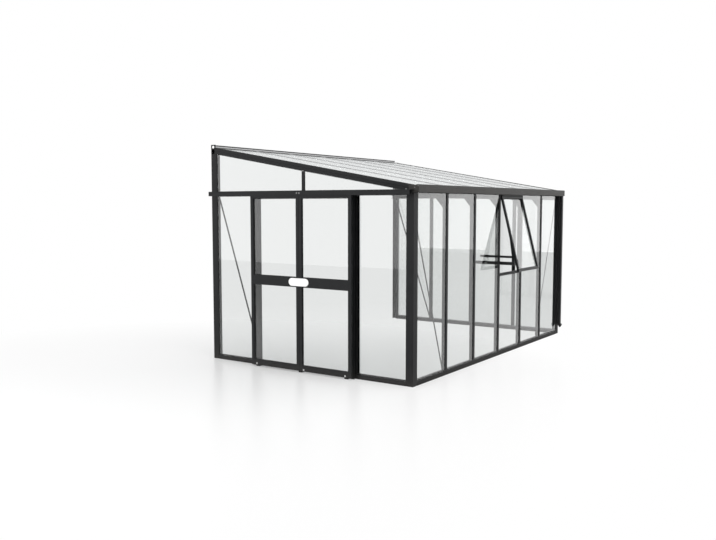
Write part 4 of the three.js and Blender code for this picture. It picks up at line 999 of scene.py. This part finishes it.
# Window opener: stout rods with knobs, a yoke and pin outside, and their guide on the sill.
opener = {
    "rodX": 2.286, "upper": {"height": 1.292, "radius": 0.0150, "end": 0.308, "knob": 0.212},
    "lower": {"height": 1.207, "radius": 0.0215, "end": 0.370, "knob": 0.240},
    "knobRim": 0.0055, "knobHalf": 0.012, "sides": 36, "yokeX": 2.2525, "yokeFront": -0.1828,
    "yokeThickness": 0.008, "yokeRim": 0.003, "rodSink": 0.001, "lugThickness": 0.005, "lugHalf": 0.010,
    "pinY": -0.1848, "pinHeight": 1.2567, "pinRadius": 0.004, "pinEnd": 2.2405, "pinBack": 0.002,
}


def openerRods():
    shape = bmesh.new()
    middle, upper, lower = opener["rodX"], opener["upper"], opener["lower"]
    yokeFront, yokeX = opener["yokeFront"], opener["yokeX"]
    yokeBack = yokeFront + opener["yokeThickness"]
    for rod in (upper, lower):
        knob, half = rod["knob"], opener["knobHalf"]
        spans = (
            (yokeFront + opener["rodSink"], rod["end"], rod["radius"]),
            (knob - half, knob + half, rod["radius"] + opener["knobRim"]),
        )
        for start, end, radius in spans:
            ends = (at(middle, y, rod["height"]) for y in (start, end))
            addRod(shape, *ends, radius, opener["sides"])
    reach = lower["radius"] + opener["yokeRim"]
    crown = upper["height"] + upper["radius"] + opener["yokeRim"]
    addBlock(shape, at(yokeX, yokeFront, lower["height"] - reach), at(middle + reach, yokeBack, crown))
    lugEnd, half = yokeX + opener["lugThickness"], opener["lugHalf"]
    pinY, pinHeight = opener["pinY"], opener["pinHeight"]
    addBlock(shape, at(yokeX, pinY, pinHeight - half), at(lugEnd, yokeBack, pinHeight + half))
    pinBack = lugEnd + opener["pinBack"]
    for start, end, radius in ((yokeX, lugEnd, half), (opener["pinEnd"], pinBack, opener["pinRadius"])):
        addRod(shape, at(start, pinY, pinHeight), at(end, pinY, pinHeight), radius)
    piece = newPiece("opener_rods_and_yoke", shape, openerBlack, "opener")
    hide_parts("opener_rods")


guide = {
    "left": 2.2608, "front": 0.043, "back": 0.062, "side": 0.008, "crown": 0.010, "boreGap": 0.0005,
    "sink": 0.0005, "rimWidth": 0.006, "rimDepth": 0.003,
}
sill = {
    "nose": -0.008, "foot": 1.045, "top": 1.070, "depth": 0.062, "wall": 0.004, "slotOuter": 0.0077,
    "slotInner": 0.0123, "groove": 0.010, "slope": 0.014, "noseFoot": 0.002, "noseTop": 0.009,
}


def windowSill():
    shape = bmesh.new()
    low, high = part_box("window_sill")
    top, foot, nose, depth, wall = (sill[label] for label in ("top", "foot", "nose", "depth", "wall"))
    outer, slot, inner = sill["slotOuter"], sill["slotInner"], sill["slotInner"] + wall
    under, groove = top - wall, foot + sill["groove"]
    section = [
        (nose, foot + sill["noseFoot"]), (nose, foot + sill["noseTop"]), (sill["slope"], top), (depth, top),
        (depth, foot), (depth - wall, foot), (depth - wall, under), (inner, under), (inner, foot),
        (slot, foot), (slot, groove), (outer, groove), (outer, foot), (nose + wall, foot),
    ]
    front, door = lines["frontPlane"], lines["doorPlane"]
    addPlate(shape, [[(front + y, z) for y, z in section]], "X", low.x, high.x)
    upper, lower = opener["upper"], opener["lower"]
    left, right = door + guide["left"], door + opener["rodX"] + lower["radius"] + guide["side"]
    crown = upper["height"] + upper["radius"] + guide["crown"]
    middle, seat = door + opener["rodX"], top - guide["sink"]
    block = [(left, seat), (right, seat), (right, crown), (left, crown)]
    bores = [ringOf((middle, rod["height"]), rod["radius"] + guide["boreGap"]) for rod in (upper, lower)]
    addPlate(shape, [block, *bores], "Y", front + guide["front"], front + guide["back"])
    for rod in (upper, lower):
        rim = rod["radius"] + guide["boreGap"]
        rings = [ringOf((middle, rod["height"]), radius) for radius in (rim + guide["rimWidth"], rim)]
        addPlate(shape, rings, "Y", front + guide["back"], front + guide["back"] + guide["rimDepth"])
    piece = newPiece("window_sill_and_guide", shape, frameCoat)
    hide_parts("window_sill")


openerRods()
windowSill()
print("scene: window opener fitted")

# Studio: a pale floor, white all round, soft light from above, and two tall soft boxes far to the sides
# whose lower edges stand on the floor: the glass mirrors them.
studio = {
    "floorRadius": 34.0, "floorSides": 96, "floorGap": 0.0008, "floorLit": 0.66, "floorSeen": 0.88,
    "floorRoughness": 0.3, "floorSpecular": 0.35, "whiteNear": 0.15, "nearRadius": 1.0, "farRadius": 5.0,
    "worldLit": 0.8, "worldSeen": 1.0, "shadeCentre": (-3.6, 0.9, 0.0),
}
softLamps = {
    "softTop": {"place": (-3.5, -4.5, 7.5), "target": (0, 0, 1.0), "size": 6.0, "power": 260.0},
    "softSide": {"place": (4.0, -6.5, 4.5), "target": (0, 0, 1.0), "size": 4.0, "power": 70.0},
    "softEnd": {"place": (-9.0, 2.5, 1.6), "target": (-2.0, 0.0, 1.2), "size": 4.0, "power": 130.0},
}
softBoxes = {
    "height": 11.0, "glow": 1.45,
    "boxes": {"mirroredByFront": (22.4, -12.5, 11.0), "mirroredByEnd": (-15.6, 10.75, 10.5)},
}


# One for the camera and for what is seen in a reflection or through glass.
def seenRay(tree):
    path = addNode(tree, "ShaderNodeLightPath")
    seen = maths(tree, "MAXIMUM", path.outputs["Is Camera Ray"], path.outputs["Is Glossy Ray"])
    return maths(tree, "MAXIMUM", seen, path.outputs["Is Transmission Ray"])


def studioWorld():
    world = bpy.data.worlds.new("studioWhite")
    world.use_nodes = True
    scene.world = world
    tree = world.node_tree
    background = tree.nodes["Background"]
    background.inputs["Color"].default_value = (1, 1, 1, 1)
    spread = studio["worldSeen"] - studio["worldLit"]
    strength = maths(tree, "MULTIPLY_ADD", seenRay(tree), spread, studio["worldLit"])
    tree.links.new(strength, background.inputs["Strength"])


def studioFloor():
    shape = bmesh.new()
    bmesh.ops.create_circle(
        shape, cap_ends=True, segments=studio["floorSides"], radius=studio["floorRadius"],
    )
    mesh = bpy.data.meshes.new("studio_floor")
    shape.to_mesh(mesh)
    shape.free()
    floor = newObject("studio_floor", mesh)
    floor.location.z = -studio["floorGap"]
    material, tree, surface = newMaterial("studioFloorPale")
    seen = seenRay(tree)
    lit, shown = ((shade, shade, shade, 1) for shade in (studio["floorLit"], studio["floorSeen"]))
    tree.links.new(mixColour(tree, seen, lit, shown), surface.inputs["Base Color"])
    surface.inputs["Roughness"].default_value = studio["floorRoughness"]
    surface.inputs["Specular IOR Level"].default_value = studio["floorSpecular"]
    # Painted light: for seen rays the floor glows white, weakly near shadeCentre and fully beyond farRadius.
    # This lightens the object's shadow and brightens the floor away from shadeCentre.
    points = {0: objectPlace(tree), 1: studio["shadeCentre"]}
    away = addNode(tree, "ShaderNodeVectorMath", points, operation="DISTANCE")
    paintedFloorGlow = addNode(tree, "ShaderNodeMapRange", {
        "Value": away.outputs["Value"], "From Min": studio["nearRadius"], "From Max": studio["farRadius"],
        "To Min": studio["whiteNear"], "To Max": 1.0,
    })
    share = maths(tree, "MULTIPLY", paintedFloorGlow.outputs["Result"], seen)
    divertRays(tree, surface, share, "ShaderNodeEmission", {"Color": (1, 1, 1, 1), "Strength": 1.0})
    mesh.materials.append(material)


def newLamp(name, place, target, shape, size, power):
    lamp = bpy.data.lights.new(name, "AREA")
    lamp.shape = shape
    lamp.size, lamp.size_y = size
    lamp.energy = power
    holder = newObject(name, lamp)
    holder.location = place
    holder.rotation_euler = (Vector(target) - Vector(place)).to_track_quat("-Z", "Y").to_euler()
    return holder


def studioLamps():
    for name, soft in softLamps.items():
        size = (soft["size"], soft["size"])
        holder = newLamp(name, soft["place"], soft["target"], "DISK", size, soft["power"])
        holder.visible_glossy = holder.visible_transmission = name == "softTop"
    height = softBoxes["height"]
    for name, (x, y, width) in softBoxes["boxes"].items():
        power = softBoxes["glow"] * math.pi * width * height
        target = (x - math.copysign(1.0, x), y, height / 2)
        holder = newLamp(name, (x, y, height / 2), target, "RECTANGLE", (width, height), power)
        holder.visible_camera = False
        holder.visible_transmission = False


# The photograph's point of view, fitted to the frame's edges: degrees and metres.
view = {
    "lens": 39.826, "filmWidth": 36.0, "yaw": 55.783, "pitch": -4.68, "place": (-9.45685, -5.59302, 1.962),
}


def studioCamera():
    camera = bpy.data.cameras.new("photoCamera")
    camera.lens = view["lens"]
    camera.sensor_width = view["filmWidth"]
    holder = newObject("photoCamera", camera)
    yaw, pitch = math.radians(view["yaw"]), math.radians(view["pitch"])
    level = math.cos(pitch)
    forward = Vector((level * math.sin(yaw), level * math.cos(yaw), math.sin(pitch)))
    holder.location = view["place"]
    holder.rotation_euler = forward.to_track_quat("-Z", "Y").to_euler()
    scene.camera = holder


studioWorld()
studioFloor()
studioLamps()
studioCamera()
print("scene: studio set")
